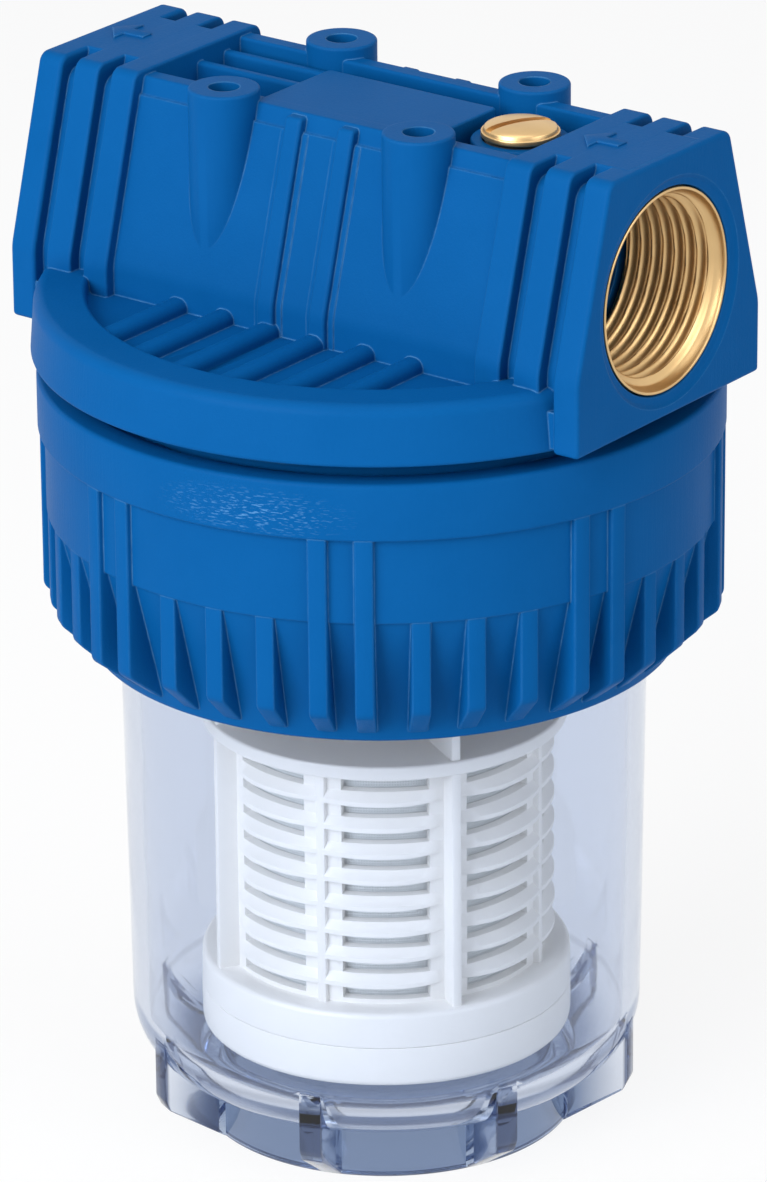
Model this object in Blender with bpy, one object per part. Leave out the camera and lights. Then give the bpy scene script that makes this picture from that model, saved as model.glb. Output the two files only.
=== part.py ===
"""Garden pump filter: moulded head with two brass ports, lock ring, clear bowl and a louvred cartridge.

Sizes are in millimetres and are turned into metres where a mesh is made. The z axis is the axis of
the bowl, z = 0 is the surface it stands on, and x runs through both ports, towards the inlet.
"""
import math

import bmesh
import bpy
from mathutils import Matrix

MM = 0.001

# Clearances
REST_GAP = 0.3            # between pieces that touch
TURN_GAP = 0.4            # round pieces that turn
SEAT_OVERLAP = 1.0        # how far a rib or web is rooted in the wall that carries it
CUT_MARGIN = 1.0          # how far a cutting tool stands out of the surface it opens

# Facets round the large and the small turned pieces, and round bosses and holes
LARGE_SIDES = 36
SMALL_SIDES = 24
HOLE_SIDES = 12
BOSS_SIDES = 16

# Bowl, whose radius and height drive the rest
BOWL_RADIUS = 44.9        # outer, where the wall starts above the rounded corner
BOWL_HEIGHT = 104.3       # from the surface it stands on to the underside of its flange
BOWL_CORNER = 12.0
BOWL_DRAFT = math.radians(0.8)
BOWL_WALL = 2.6
BOWL_FLOOR = 3.5
FOOT_STEP = 0.4           # the foot stands this far outside the start of the rounded corner
FOOT_WALL = 3.6
FOOT_HEIGHT = 10.0
BOWL_FLANGE_HEIGHT = 5.0
BOWL_FLANGE_WIDTH = 5.1
SPIGOT_HEIGHT = 11.7
SPIGOT_WIDTH = 2.5
BOWL_TURN = math.radians(19.7)
LUG_COUNT = 8
LUG_WIDTH = 4.0
LUG_RISE = 10.8           # above the foot
LUG_CORNER_DROP = 0.2     # the lug's lower corner lies this far under the top of the foot
LUG_FOOT_Z = 0.4
LUG_CHAMFER = (1.0, 2.2)    # inward and down from the lug's corner
CENTRING_RADIUS = 12.0
CENTRING_HEIGHT = 5.5

# Bowl seal
SEAL_SECTION = 3.0
SEAL_GROOVE_FLOOR = 6.4   # height of the groove's lower side above the flange

# Lock ring
RING_FOOT_DROP = 14.0     # from the bowl's flange down to the ring's foot
RING_RISE = 30.2          # from the top of the flange up to the ring's top
RING_WALL = 3.7           # from the thread out to the belt
RING_BELT_HEIGHT = 15.1
RING_BAND_STEP = 1.2      # the band stands this far outside the belt
RING_BAND_HEIGHT = 10.1
RING_CONE_STEP = 0.7
RING_CONE_TAPER = 6.1
RING_EDGE = 1.2
RING_LIP_GAP = 0.7
RING_TURN = math.radians(30.2)
GRIP_PAIRS = 8
GRIP_RIB_WIDTH = 3.3
GRIP_PAIR_ANGLE = math.radians(7.6)
GRIP_SHORT_COUNT = 3
GRIP_SHORT_ANGLE = math.radians(9.35)
GRIP_CHAMFER_Z = 7.5
GRIP_CHAMFER_END = 2.0
GRIP_SINK = 0.15            # rib faces lie this far inside the band or belt above them
GRIP_LAP = 0.4              # rib tops run this far up into it

# Skirt and thread between the lock ring and the head
SKIRT_WALL = 2.35         # from the bowl's seal out to the root of the thread
THREAD_DEPTH = 1.5

# Head, turned part
DISC_STEP = 0.9           # the disc stands this far outside the lock ring's band
DISC_GAP = 3.3            # between the lock ring and the disc
DISC_HEIGHT = 10.5
DISC_TAPER = 0.8
DISC_ROUND = 2.2
RIM_WIDTH = 9.6
TROUGH_DEPTH = 2.9
HEAD_CEILING = 3.2        # height of the ceiling inside the skirt above the disc's underside
SKIRT_GAP = 0.5           # between the skirt and the bowl's flange
NOZZLE_RADIUS = 17.0
NOZZLE_BORE = 10.0

# Head, bridge and end blocks
BLOCK_PROUD = 0.1         # the end blocks stand this far outside the disc
PORT_ROOF = 6.0           # from the brass insert up to the top of the block
PORT_CHEEK = 8.7          # from the brass insert out to the block's straight foot
SIDE_SLOPE = 9.2          # how far the sides lean in from the foot to the top
KINK_RISE = 2.5           # height of the straight foot above the disc
BLOCK_ROUND = 1.8
FIN_WIDTH = 5.2
FIN_GAP = 2.8
FIN_DEPTH = 2.6
FIN_REACH = 7.2           # how far a slot runs in over the top
FINS_PER_BLOCK = 3
BRIDGE_DROP = 1.0
BRIDGE_LIP = 3.0
BRIDGE_LIP_STEP = 0.5
BRIDGE_RIB_WIDTH = 3.4
BRIDGE_RIB_DEPTH = 1.3
TROUGH_RIB_PITCH = 10.0   # the bridge's ribs stand over the middle two
TROUGH_RIB_COUNT = 6
TROUGH_RIB_WIDTH = 4.0
TROUGH_RIB_DROP = 0.5

# Head, recess in the top
WELL_DEPTH = 5.0
WELL_WALL = 3.0
RAIL_WIDTH = 2.0
RAIL_DROP = 1.4
RAIL_Y = (0.6, 8.0)
RAIL_LENGTH = 23.5
PANEL_BACK_Y = 6.4        # the panel runs from here into the front wall
PANEL_DROP = 0.3

# Head, screw bosses
BOSS_INSET = 18.5         # from the end block to the boss's axis
BOSS_SINK = 0.8           # from the head's top edge in to the boss's axis
BOSS_RADIUS = 6.15
BOSS_RISE = 1.0
BOSS_HOLE_RADIUS = 2.7
BOSS_HOLE_DEPTH = 14.0

# Ports
PIPE_RADIUS = 16.6        # at the root of the insert's pipe thread
PORT_STEP = 1.6           # the water way is this much narrower in radius
PORT_FLOOR = 0.9          # from the ceiling inside the skirt up to the brass insert
PORT_WALL_STEP = 3.0      # from the outlet's rise to the wall that parts the inlet from the outlet
PORT_WALL = 4.0
INLET_DROP_RADIUS = 8.0
INLET_DROP_INSET = 9.05   # from the skirt in to the inlet's drop
INSERT_WALL = 1.1
INSERT_RECESS = 0.8
INSERT_FLOOR = 0.4        # from the insert's inner end to the end of the block
INSERT_MOUTH_STEP = 0.6
INSERT_MOUTH_DEPTH = 1.6

# Vent screw
VENT_INSET = 9.5          # from the end block to the screw's axis
VENT_PAD_RADIUS = 8.4
VENT_PAD_DROP = 2.7
VENT_HEAD_RADIUS = 6.7
VENT_HEAD_SIDE = 1.3
VENT_HEAD_DOME = 1.4
VENT_SHANK_RADIUS = 4.0
VENT_SHANK_LENGTH = 7.4
VENT_SLOT_WIDTH = 1.6
VENT_SLOT_DEPTH = 1.2
VENT_SLOT_TURN = math.radians(63.0)
VENT_SEAL_SECTION = 1.9

# Cartridge. Every second post has a web over the shelf; the others end flush with the louvres.
GASKET_THICKNESS = 3.35
GASKET_RADIUS = 22.0
GASKET_WIDTH = 8.0        # from the gasket's bore to its outside
GASKET_BORE = GASKET_RADIUS - GASKET_WIDTH
CARTRIDGE_TURN = math.radians(-7.8)
WATER_ROOM = 12.3         # between the cartridge's cap and the bowl's outside
CAP_HEIGHT = 7.3
CAP_FLOOR = 2.5
CAP_CHAMFER = 0.8
BASE_HEIGHT = 6.4
CAGE_INSET = 4.6          # the cage's outside lies this far inside the cap's
CAGE_WALL = 1.8
LOUVRE_PROUD = 1.5
LIP_RISE = 0.6            # height of a louvre's lip above the slit under it
SHELF_INSET = 0.7
SHELF_HEIGHT = 2.6
SLIT_ROWS = 9
SLIT_PITCH = 4.91
SLIT_HEIGHT = 1.7
WINDOW_COUNT = 8
WINDOW_ANGLE = math.radians(31.0)
FIRST_SLIT = 1.35         # from the top of the base to the first slit
LAST_SLIT = 1.4           # from the last slit to the shelf
POST_INSET = 1.0
POST_THICKNESS = 1.7
WEB_INSET = 0.2           # webs over the shelf end this far inside the posts' radius
NECK_RADIUS = 18.0
NECK_WALL = 2.2
TOP_PLATE_HEIGHT = 3.0
MESH_THICKNESS = 0.6

# Heights that follow from the sizes above
FLOOR_Z = FOOT_HEIGHT + BOWL_FLOOR
FLANGE_TOP_Z = BOWL_HEIGHT + BOWL_FLANGE_HEIGHT
BOWL_TOP_Z = FLANGE_TOP_Z + SPIGOT_HEIGHT
RING_BOTTOM_Z = BOWL_HEIGHT - RING_FOOT_DROP
RING_TOP_Z = FLANGE_TOP_Z + RING_RISE
DISC_Z = RING_TOP_Z + DISC_GAP
DISC_TOP_Z = DISC_Z + DISC_HEIGHT
TROUGH_Z = DISC_TOP_Z - TROUGH_DEPTH
CEILING_Z = DISC_Z + HEAD_CEILING
SKIRT_BOTTOM_Z = FLANGE_TOP_Z + SKIRT_GAP
KINK_Z = DISC_TOP_Z + KINK_RISE
INSERT_RADIUS = PIPE_RADIUS + INSERT_WALL
PORT_Z = CEILING_Z + PORT_FLOOR + INSERT_RADIUS
HEAD_TOP_Z = PORT_Z + INSERT_RADIUS + PORT_ROOF
BRIDGE_TOP_Z = HEAD_TOP_Z - BRIDGE_DROP
WELL_Z = BRIDGE_TOP_Z - WELL_DEPTH
VENT_PAD_Z = HEAD_TOP_Z - VENT_PAD_DROP
CAP_Z = FLOOR_Z + GASKET_THICKNESS + 2 * REST_GAP
BASE_Z = CAP_Z + CAP_HEIGHT + REST_GAP
CAGE_Z = BASE_Z + BASE_HEIGHT
SHELF_Z = CAGE_Z + FIRST_SLIT + (SLIT_ROWS - 1) * SLIT_PITCH + SLIT_HEIGHT + LAST_SLIT
NOZZLE_Z = DISC_Z
CARTRIDGE_TOP_Z = NOZZLE_Z - GASKET_THICKNESS - 2 * REST_GAP


def bowl_radius(z):
    """Outer radius of the bowl's drafted wall at height z."""
    return BOWL_RADIUS + (z - FOOT_HEIGHT - BOWL_CORNER) * math.tan(BOWL_DRAFT)


# Radii that follow from the bowl's, going outwards
BOWL_TOP_RADIUS = bowl_radius(BOWL_HEIGHT)
FOOT_RADIUS = BOWL_RADIUS - BOWL_CORNER + FOOT_STEP
FLANGE_RADIUS = BOWL_TOP_RADIUS + BOWL_FLANGE_WIDTH
SPIGOT_RADIUS = BOWL_TOP_RADIUS + SPIGOT_WIDTH
BOWL_BORE = BOWL_TOP_RADIUS - BOWL_WALL
SEAL_BED_RADIUS = SPIGOT_RADIUS + REST_GAP * 3 - SEAL_SECTION
SEAL_RADIUS = SEAL_BED_RADIUS + REST_GAP + SEAL_SECTION / 2
SKIRT_BORE = SEAL_RADIUS + SEAL_SECTION / 2 + REST_GAP
THREAD_RADIUS = SKIRT_BORE + SKIRT_WALL
RING_BORE = THREAD_RADIUS + THREAD_DEPTH + TURN_GAP
RING_BELT_RADIUS = RING_BORE + RING_WALL
RING_BAND_RADIUS = RING_BELT_RADIUS + RING_BAND_STEP
RING_CONE_RADIUS = RING_BELT_RADIUS - RING_CONE_STEP
RING_FOOT_RADIUS = RING_CONE_RADIUS - RING_CONE_TAPER
RING_SHOULDER_Z = BOWL_HEIGHT - REST_GAP
DISC_RADIUS = RING_BAND_RADIUS + DISC_STEP

# The cartridge's radii, which leave the same room for water inside the bowl
CAP_RADIUS = BOWL_RADIUS - WATER_ROOM
CAGE_RADIUS = CAP_RADIUS - CAGE_INSET
LOUVRE_RADIUS = CAGE_RADIUS + LOUVRE_PROUD
SHELF_RADIUS = CAP_RADIUS - SHELF_INSET
POST_RADIUS = CAP_RADIUS - POST_INSET

# Lengths and widths of the head, and places along its ports' axis
HEAD_HALF_LENGTH = DISC_RADIUS + BLOCK_PROUD
BLOCK_LENGTH = FINS_PER_BLOCK * FIN_WIDTH + (FINS_PER_BLOCK - 1) * FIN_GAP
BLOCK_X = HEAD_HALF_LENGTH - BLOCK_LENGTH
KINK_HALF_WIDTH = INSERT_RADIUS + PORT_CHEEK
TOP_HALF_WIDTH = KINK_HALF_WIDTH - SIDE_SLOPE
INSERT_LENGTH = BLOCK_LENGTH - INSERT_RECESS - INSERT_FLOOR
PORT_BORE = PIPE_RADIUS - PORT_STEP
PORT_WALL_X = NOZZLE_BORE + PORT_WALL_STEP
INLET_DROP_X = SKIRT_BORE - INLET_DROP_RADIUS - INLET_DROP_INSET
BOSS_X = BLOCK_X - BOSS_INSET
BOSS_Y = TOP_HALF_WIDTH - BOSS_SINK
BRIDGE_RIB_X = TROUGH_RIB_PITCH / 2
VENT_X = BLOCK_X - VENT_INSET
PANEL_X = (RAIL_LENGTH - BLOCK_X, VENT_X - VENT_INSET)


def arc(centre, radius, start, end, steps):
    """Points on an arc in a plane; angles in degrees."""
    angles = [math.radians(start + (end - start) * i / steps) for i in range(steps + 1)]
    return [(centre[0] + radius * math.cos(a), centre[1] + radius * math.sin(a)) for a in angles]


def new_object(name, bm, material=None):
    """Turn a bmesh in millimetres into an object in metres with outward normals."""
    bmesh.ops.transform(bm, matrix=Matrix.Scale(MM, 4), verts=bm.verts)
    bmesh.ops.remove_doubles(bm, verts=bm.verts, dist=1e-6)
    bmesh.ops.dissolve_degenerate(bm, edges=bm.edges, dist=1e-6)
    bmesh.ops.recalc_face_normals(bm, faces=bm.faces)
    mesh = bpy.data.meshes.new(name)
    bm.to_mesh(mesh)
    bm.free()
    obj = bpy.data.objects.new(name, mesh)
    bpy.context.scene.collection.objects.link(obj)
    if material:
        mesh.materials.append(material)
    return obj


def turned(name, section, sides, material=None):
    """Turn a section of (radius, z) points about z; one that starts and ends on the axis isn't closed."""
    bm = bmesh.new()
    points = [bm.verts.new((r, 0.0, z)) for r, z in section]
    on_axis = section[0][0] == 0.0 and section[-1][0] == 0.0
    pairs = list(zip(points, points[1:])) + ([] if on_axis else [(points[-1], points[0])])
    edges = [bm.edges.new(pair) for pair in pairs]
    bmesh.ops.spin(bm, geom=points + edges, cent=(0, 0, 0), axis=(0, 0, 1), angle=math.tau,
                   steps=sides, use_merge=True)
    return new_object(name, bm, material)


def slab(name, outline, low, high, axis, material=None):
    """Extrude an outline between two places on an axis: (y, z) points along X, (x, z) points along Y."""
    bm = bmesh.new()
    place = {"X": lambda a, b: (low, a, b), "Y": lambda a, b: (a, low, b)}[axis]
    face = bm.faces.new([bm.verts.new(place(a, b)) for a, b in outline])
    rest = bmesh.ops.extrude_face_region(bm, geom=[face])
    moved = [item for item in rest["geom"] if isinstance(item, bmesh.types.BMVert)]
    shift = (high - low, 0, 0) if axis == "X" else (0, high - low, 0)
    bmesh.ops.translate(bm, verts=moved, vec=shift)
    return new_object(name, bm, material)


def rod(name, radius, start, length, axis, sides=SMALL_SIDES):
    """A round bar from a start point along X or Z."""
    bm = bmesh.new()
    bmesh.ops.create_cone(bm, cap_ends=True, segments=sides, radius1=radius, radius2=radius, depth=length,
                          matrix=Matrix.Translation((0, 0, length / 2)))
    turn = Matrix.Rotation(math.radians(90), 4, "Y") if axis == "X" else Matrix.Identity(4)
    bmesh.ops.transform(bm, matrix=Matrix.Translation(start) @ turn, verts=bm.verts)
    return new_object(name, bm)


def box(name, low, high):
    """A rectangular block between two corners."""
    outline = [(low[1], low[2]), (high[1], low[2]), (high[1], high[2]), (low[1], high[2])]
    return slab(name, outline, low[0], high[0], "X")


def turned_about_z(obj, angle):
    """Turn an object that is only a tool or an added form about the z axis."""
    obj.data.transform(Matrix.Rotation(angle, 4, "Z"))
    return obj


def mirrored(obj, axis):
    """Copy an added form or a tool to the other side of the x = 0 or the y = 0 plane."""
    twin = obj.copy()
    twin.data = obj.data.copy()
    bpy.context.scene.collection.objects.link(twin)
    twin.data.transform(Matrix.Scale(-1, 4, (1, 0, 0) if axis == "X" else (0, 1, 0)))
    twin.data.flip_normals()
    return twin


def on_all_four_sides(obj):
    """An added form or a tool with its copies in the other three quarters."""
    across = mirrored(obj, "X")
    return [obj, across, mirrored(obj, "Y"), mirrored(across, "Y")]


def shape_with(target, tools, operation):
    """Join tools to the target, or cut them from it, with one Boolean modifier."""
    group = bpy.data.collections.new(f"{target.name}_{operation.lower()}_{len(target.modifiers)}")
    bpy.context.scene.collection.children.link(group)
    for tool in tools:
        for home in list(tool.users_collection):
            home.objects.unlink(tool)
        group.objects.link(tool)
        tool.hide_render = True
        tool.display_type = "WIRE"
    modifier = target.modifiers.new(operation.title(), "BOOLEAN")
    modifier.operation = operation
    modifier.operand_type = "COLLECTION"
    modifier.collection = group
    modifier.solver = "EXACT"


def finish(obj, angle=30):
    """Shade a piece smooth except at its real edges."""
    obj.data.shade_smooth()
    obj.data.set_sharp_from_angle(angle=math.radians(angle))
    return obj


def material(name, colour, roughness, metallic=0.0, alpha=1.0):
    """A Principled material; alpha below one is a clear plastic."""
    made = bpy.data.materials.new(name)
    made.use_nodes = True
    shader = made.node_tree.nodes["Principled BSDF"]
    shader.inputs["Base Color"].default_value = (*colour, 1.0)
    shader.inputs["Roughness"].default_value = roughness
    shader.inputs["Metallic"].default_value = metallic
    shader.inputs["Alpha"].default_value = alpha
    return made


def side_profile(depth, top):
    """Front and rear outline of the head at a depth under the fins: straight foot, then sloping in."""
    slope = (KINK_HALF_WIDTH - TOP_HALF_WIDTH) / (HEAD_TOP_Z - KINK_Z)
    at_top = TOP_HALF_WIDTH - depth + (HEAD_TOP_Z - top) * slope
    return [(at_top, top), (KINK_HALF_WIDTH - depth, KINK_Z)]


def closed_outline(half, foot_z):
    """Both sides of a half outline given from top to bottom, closed at foot_z."""
    half = half + [(half[-1][0], foot_z)]
    return half + [(-y, z) for y, z in reversed(half)]


def make_end_block():
    """The block round the right port, with its top edges rounded."""
    outline = closed_outline(side_profile(0.0, HEAD_TOP_Z), DISC_Z)
    block = slab("end_block", outline, BLOCK_X, HEAD_HALF_LENGTH, "X")
    bevel = block.modifiers.new("Round edges", "BEVEL")
    bevel.width = BLOCK_ROUND * MM
    bevel.segments = 1
    bevel.limit_method = "ANGLE"
    bevel.angle_limit = math.radians(60)
    return block


def make_fin_slot(index):
    """One slot in the front of the right block, which runs up and in over the top edge."""
    floor_z = HEAD_TOP_Z - FIN_DEPTH
    inner_y = TOP_HALF_WIDTH - FIN_REACH
    proud = FIN_DEPTH + CUT_MARGIN
    wall = side_profile(FIN_DEPTH, floor_z)
    face = side_profile(-proud, HEAD_TOP_Z + proud)
    outline = [(inner_y, HEAD_TOP_Z + proud)]
    outline += arc((inner_y + FIN_DEPTH / 2, floor_z + FIN_DEPTH / 2), FIN_DEPTH / 2, 180, 270, 2)
    outline += wall + [(wall[-1][0], DISC_TOP_Z), (face[-1][0], DISC_TOP_Z)] + face[::-1]
    outer_x = HEAD_HALF_LENGTH - FIN_WIDTH - index * (FIN_WIDTH + FIN_GAP)
    slot = slab(f"fin_slot_{index}", [(-y, z) for y, z in outline], outer_x - FIN_GAP, outer_x, "X")
    return on_all_four_sides(slot)


def make_bridge():
    """The middle of the head between the end blocks, with the step under its top lip."""
    lip_z = BRIDGE_TOP_Z - BRIDGE_LIP
    upper = side_profile(FIN_DEPTH, BRIDGE_TOP_Z)[0]
    under_lip = side_profile(FIN_DEPTH, lip_z)[0]
    lower = side_profile(FIN_DEPTH - BRIDGE_LIP_STEP, lip_z)
    reach = BLOCK_X + SEAT_OVERLAP
    outline = closed_outline([upper, under_lip] + lower, CEILING_Z + SEAT_OVERLAP)
    return slab("bridge", outline, -reach, reach, "X")


def make_bridge_ribs():
    """The upright ribs on the front and rear of the bridge."""
    base = side_profile(FIN_DEPTH + SEAT_OVERLAP, BRIDGE_TOP_Z - BRIDGE_RIB_DEPTH)
    face = side_profile(FIN_DEPTH - BRIDGE_LIP_STEP - BRIDGE_RIB_DEPTH, BRIDGE_TOP_Z - BRIDGE_RIB_DEPTH)
    foot = TROUGH_Z - SEAT_OVERLAP
    outline = base + [(base[-1][0], foot), (face[-1][0], foot)] + face[::-1]
    rib = slab("bridge_rib", [(-y, z) for y, z in outline], BRIDGE_RIB_X - BRIDGE_RIB_WIDTH / 2,
               BRIDGE_RIB_X + BRIDGE_RIB_WIDTH / 2, "X")
    return on_all_four_sides(rib)


def make_trough_ribs():
    """Half-round ribs across the trough, from the bridge to the disc's rim."""
    ribs = []
    half = TROUGH_RIB_WIDTH / 2
    crown_z = DISC_TOP_Z - TROUGH_RIB_DROP - half
    inner = KINK_HALF_WIDTH - FIN_DEPTH - SEAT_OVERLAP
    for i in range(TROUGH_RIB_COUNT // 2):
        x = TROUGH_RIB_PITCH * (i + 0.5)
        outer = math.sqrt((DISC_RADIUS - RIM_WIDTH) ** 2 - x ** 2) + SEAT_OVERLAP
        outline = [(x - half, TROUGH_Z - SEAT_OVERLAP), (x + half, TROUGH_Z - SEAT_OVERLAP)]
        outline += arc((x, crown_z), half, 0, 180, 3)
        rib = slab(f"trough_rib_{i}", outline, -outer, -inner, "Y")
        ribs += on_all_four_sides(rib)
    return ribs


def make_head_disc(blue):
    """The turned part of the head: disc with its trough, threaded skirt and the ceiling inside it."""
    rim_radius = DISC_RADIUS - RIM_WIDTH
    edge = DISC_RADIUS - DISC_TAPER
    section = [(0.0, CEILING_Z), (SKIRT_BORE, CEILING_Z), (SKIRT_BORE, SKIRT_BOTTOM_Z),
               (THREAD_RADIUS - THREAD_DEPTH, SKIRT_BOTTOM_Z), (THREAD_RADIUS, SKIRT_BOTTOM_Z + THREAD_DEPTH),
               (THREAD_RADIUS, DISC_Z), (DISC_RADIUS, DISC_Z)]
    section += arc((edge - DISC_ROUND, DISC_TOP_Z - DISC_ROUND), DISC_ROUND, 0, 90, 2)
    section += [(rim_radius, DISC_TOP_Z), (rim_radius - REST_GAP, TROUGH_Z), (0.0, TROUGH_Z)]
    return turned("head", section, LARGE_SIDES, blue)


def make_bosses():
    """The four round screw bosses, which die into the sloping walls."""
    height = HEAD_TOP_Z + BOSS_RISE - KINK_Z
    boss = rod("boss", BOSS_RADIUS, (BOSS_X, -BOSS_Y, KINK_Z), height, "Z", BOSS_SIDES)
    return on_all_four_sides(boss)


def make_boss_holes():
    """The screw holes in the bosses."""
    foot_z = HEAD_TOP_Z + BOSS_RISE - BOSS_HOLE_DEPTH
    hole = rod("boss_hole", BOSS_HOLE_RADIUS, (BOSS_X, -BOSS_Y, foot_z), BOSS_HOLE_DEPTH + CUT_MARGIN, "Z",
               HOLE_SIDES)
    return on_all_four_sides(hole)


def make_top_details():
    """Rails, panel and vent pad that stand in the well between the blocks."""
    root_z = WELL_Z - SEAT_OVERLAP
    left_x = -BLOCK_X - SEAT_OVERLAP
    rail_top = BRIDGE_TOP_Z - RAIL_DROP
    parts = [box(f"rail_{i}", (left_x, y - RAIL_WIDTH / 2, root_z),
                 (PANEL_X[0] + SEAT_OVERLAP, y + RAIL_WIDTH / 2, rail_top)) for i, y in enumerate(RAIL_Y)]
    panel_top = BRIDGE_TOP_Z - PANEL_DROP
    front_y = FIN_DEPTH + WELL_WALL - SEAT_OVERLAP - TOP_HALF_WIDTH
    parts.append(box("panel", (PANEL_X[0], front_y, root_z), (PANEL_X[1], PANEL_BACK_Y, panel_top)))
    parts.append(rod("vent_pad", VENT_PAD_RADIUS, (VENT_X, 0, root_z), VENT_PAD_Z - root_z, "Z", BOSS_SIDES))
    return parts


def make_skirt_room():
    """The room for the bowl's rim inside the skirt, which also takes the feet of the end blocks away."""
    low = DISC_Z - CUT_MARGIN
    section = [(NOZZLE_RADIUS, low), (SKIRT_BORE, low), (SKIRT_BORE, CEILING_Z), (NOZZLE_RADIUS, CEILING_Z)]
    return turned("skirt_room", section, LARGE_SIDES)


def make_well():
    """The recess in the top between the end blocks."""
    half_y = TOP_HALF_WIDTH - FIN_DEPTH - WELL_WALL
    return box("well", (-BLOCK_X, -half_y, WELL_Z), (BLOCK_X, half_y, HEAD_TOP_Z + CUT_MARGIN))


def make_port_cuts():
    """Everything cut along the port axis: mouths for the inserts, water ways and the drop to the bowl."""
    seat = HEAD_HALF_LENGTH - INSERT_RECESS - INSERT_LENGTH - REST_GAP
    mouth = INSERT_RADIUS + REST_GAP
    proud = HEAD_HALF_LENGTH + CUT_MARGIN
    behind = seat + CUT_MARGIN
    bars = [("outlet_mouth", mouth, -proud, -seat), ("inlet_mouth", mouth, seat, proud),
            ("outlet_way", PORT_BORE, -behind, PORT_WALL_X),
            ("inlet_way", PORT_BORE, PORT_WALL_X + PORT_WALL, behind)]
    return [rod(label, radius, (start, 0, PORT_Z), end - start, "X") for label, radius, start, end in bars]


def make_passages():
    """The inlet's drop into the bowl, the outlet's rise from the cartridge and the vent's hole."""
    drop_z = CEILING_Z - CUT_MARGIN
    drop = rod("inlet_drop", INLET_DROP_RADIUS, (INLET_DROP_X, 0, drop_z), PORT_Z - drop_z, "Z", BOSS_SIDES)
    rise_z = NOZZLE_Z - CUT_MARGIN
    rise = rod("outlet_rise", NOZZLE_BORE, (0, 0, rise_z), PORT_Z - rise_z, "Z", BOSS_SIDES)
    vent_top = VENT_PAD_Z + CUT_MARGIN
    vent_bore = VENT_SHANK_RADIUS + TURN_GAP
    vent = rod("vent_hole", vent_bore, (VENT_X, 0, PORT_Z), vent_top - PORT_Z, "Z", HOLE_SIDES)
    bed_z = VENT_PAD_Z - VENT_SEAL_SECTION - REST_GAP
    bed_radius = VENT_SHANK_RADIUS + VENT_SEAL_SECTION + 2 * REST_GAP
    bed = rod("vent_seal_bed", bed_radius, (VENT_X, 0, bed_z), vent_top - bed_z, "Z", BOSS_SIDES)
    return [drop, rise, vent, bed]


def make_head(blue):
    """The head, moulded in one piece."""
    head = make_head_disc(blue)
    core = NOZZLE_BORE - SEAT_OVERLAP
    root_z = CEILING_Z + SEAT_OVERLAP
    nozzle = turned("nozzle", [(core, root_z), (core, NOZZLE_Z), (NOZZLE_RADIUS, NOZZLE_Z),
                               (NOZZLE_RADIUS, root_z)], BOSS_SIDES)
    block = make_end_block()
    shape_with(head, [block, mirrored(block, "X"), make_bridge(), nozzle], "UNION")
    slots = [tool for i in range(FINS_PER_BLOCK - 1) for tool in make_fin_slot(i)]
    shape_with(head, slots + [make_well(), make_skirt_room()], "DIFFERENCE")
    shape_with(head, make_bridge_ribs() + make_trough_ribs() + make_bosses() + make_top_details(), "UNION")
    shape_with(head, make_boss_holes() + make_port_cuts() + make_passages(), "DIFFERENCE")
    return finish(head)


def make_insert(name, side, brass):
    """A turned brass port insert, moulded into the head."""
    section = [(PIPE_RADIUS, 0), (PIPE_RADIUS, INSERT_LENGTH - INSERT_MOUTH_DEPTH),
               (PIPE_RADIUS + INSERT_MOUTH_STEP, INSERT_LENGTH), (INSERT_RADIUS, INSERT_LENGTH),
               (INSERT_RADIUS, 0)]
    insert = turned(name, section, SMALL_SIDES, brass)
    insert.rotation_euler = (0, side * math.radians(90), 0)
    insert.location = (side * (HEAD_HALF_LENGTH - INSERT_RECESS - INSERT_LENGTH) * MM, 0, PORT_Z * MM)
    return finish(insert)


def make_vent_screw(brass):
    """The slotted vent screw, with its origin on its own axis at the underside of its head."""
    dome = [(VENT_HEAD_RADIUS * math.cos(math.radians(a)),
             VENT_HEAD_SIDE + VENT_HEAD_DOME * math.sin(math.radians(a))) for a in (0, 30, 60)]
    section = [(0.0, -VENT_SHANK_LENGTH), (VENT_SHANK_RADIUS, -VENT_SHANK_LENGTH), (VENT_SHANK_RADIUS, 0),
               (VENT_HEAD_RADIUS, 0)] + dome + [(0.0, VENT_HEAD_SIDE + VENT_HEAD_DOME)]
    screw = turned("vent_screw", section, BOSS_SIDES, brass)
    crown = VENT_HEAD_SIDE + VENT_HEAD_DOME
    reach = VENT_HEAD_RADIUS + CUT_MARGIN
    slot = box("vent_slot", (-reach, -VENT_SLOT_WIDTH / 2, crown - VENT_SLOT_DEPTH),
               (reach, VENT_SLOT_WIDTH / 2, crown + CUT_MARGIN))
    slot.parent = screw
    shape_with(screw, [slot], "DIFFERENCE")
    screw.location = (VENT_X * MM, 0, (VENT_PAD_Z + REST_GAP) * MM)
    screw.rotation_euler = (0, 0, VENT_SLOT_TURN)
    return finish(screw)


def make_ring_seal(name, radius, section_size, rubber, sides):
    """A round-section rubber ring centred on its own origin."""
    section = arc((radius, 0), section_size / 2, 0, 360, 4)[:-1]
    return finish(turned(name, section, sides, rubber), 60)


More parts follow.
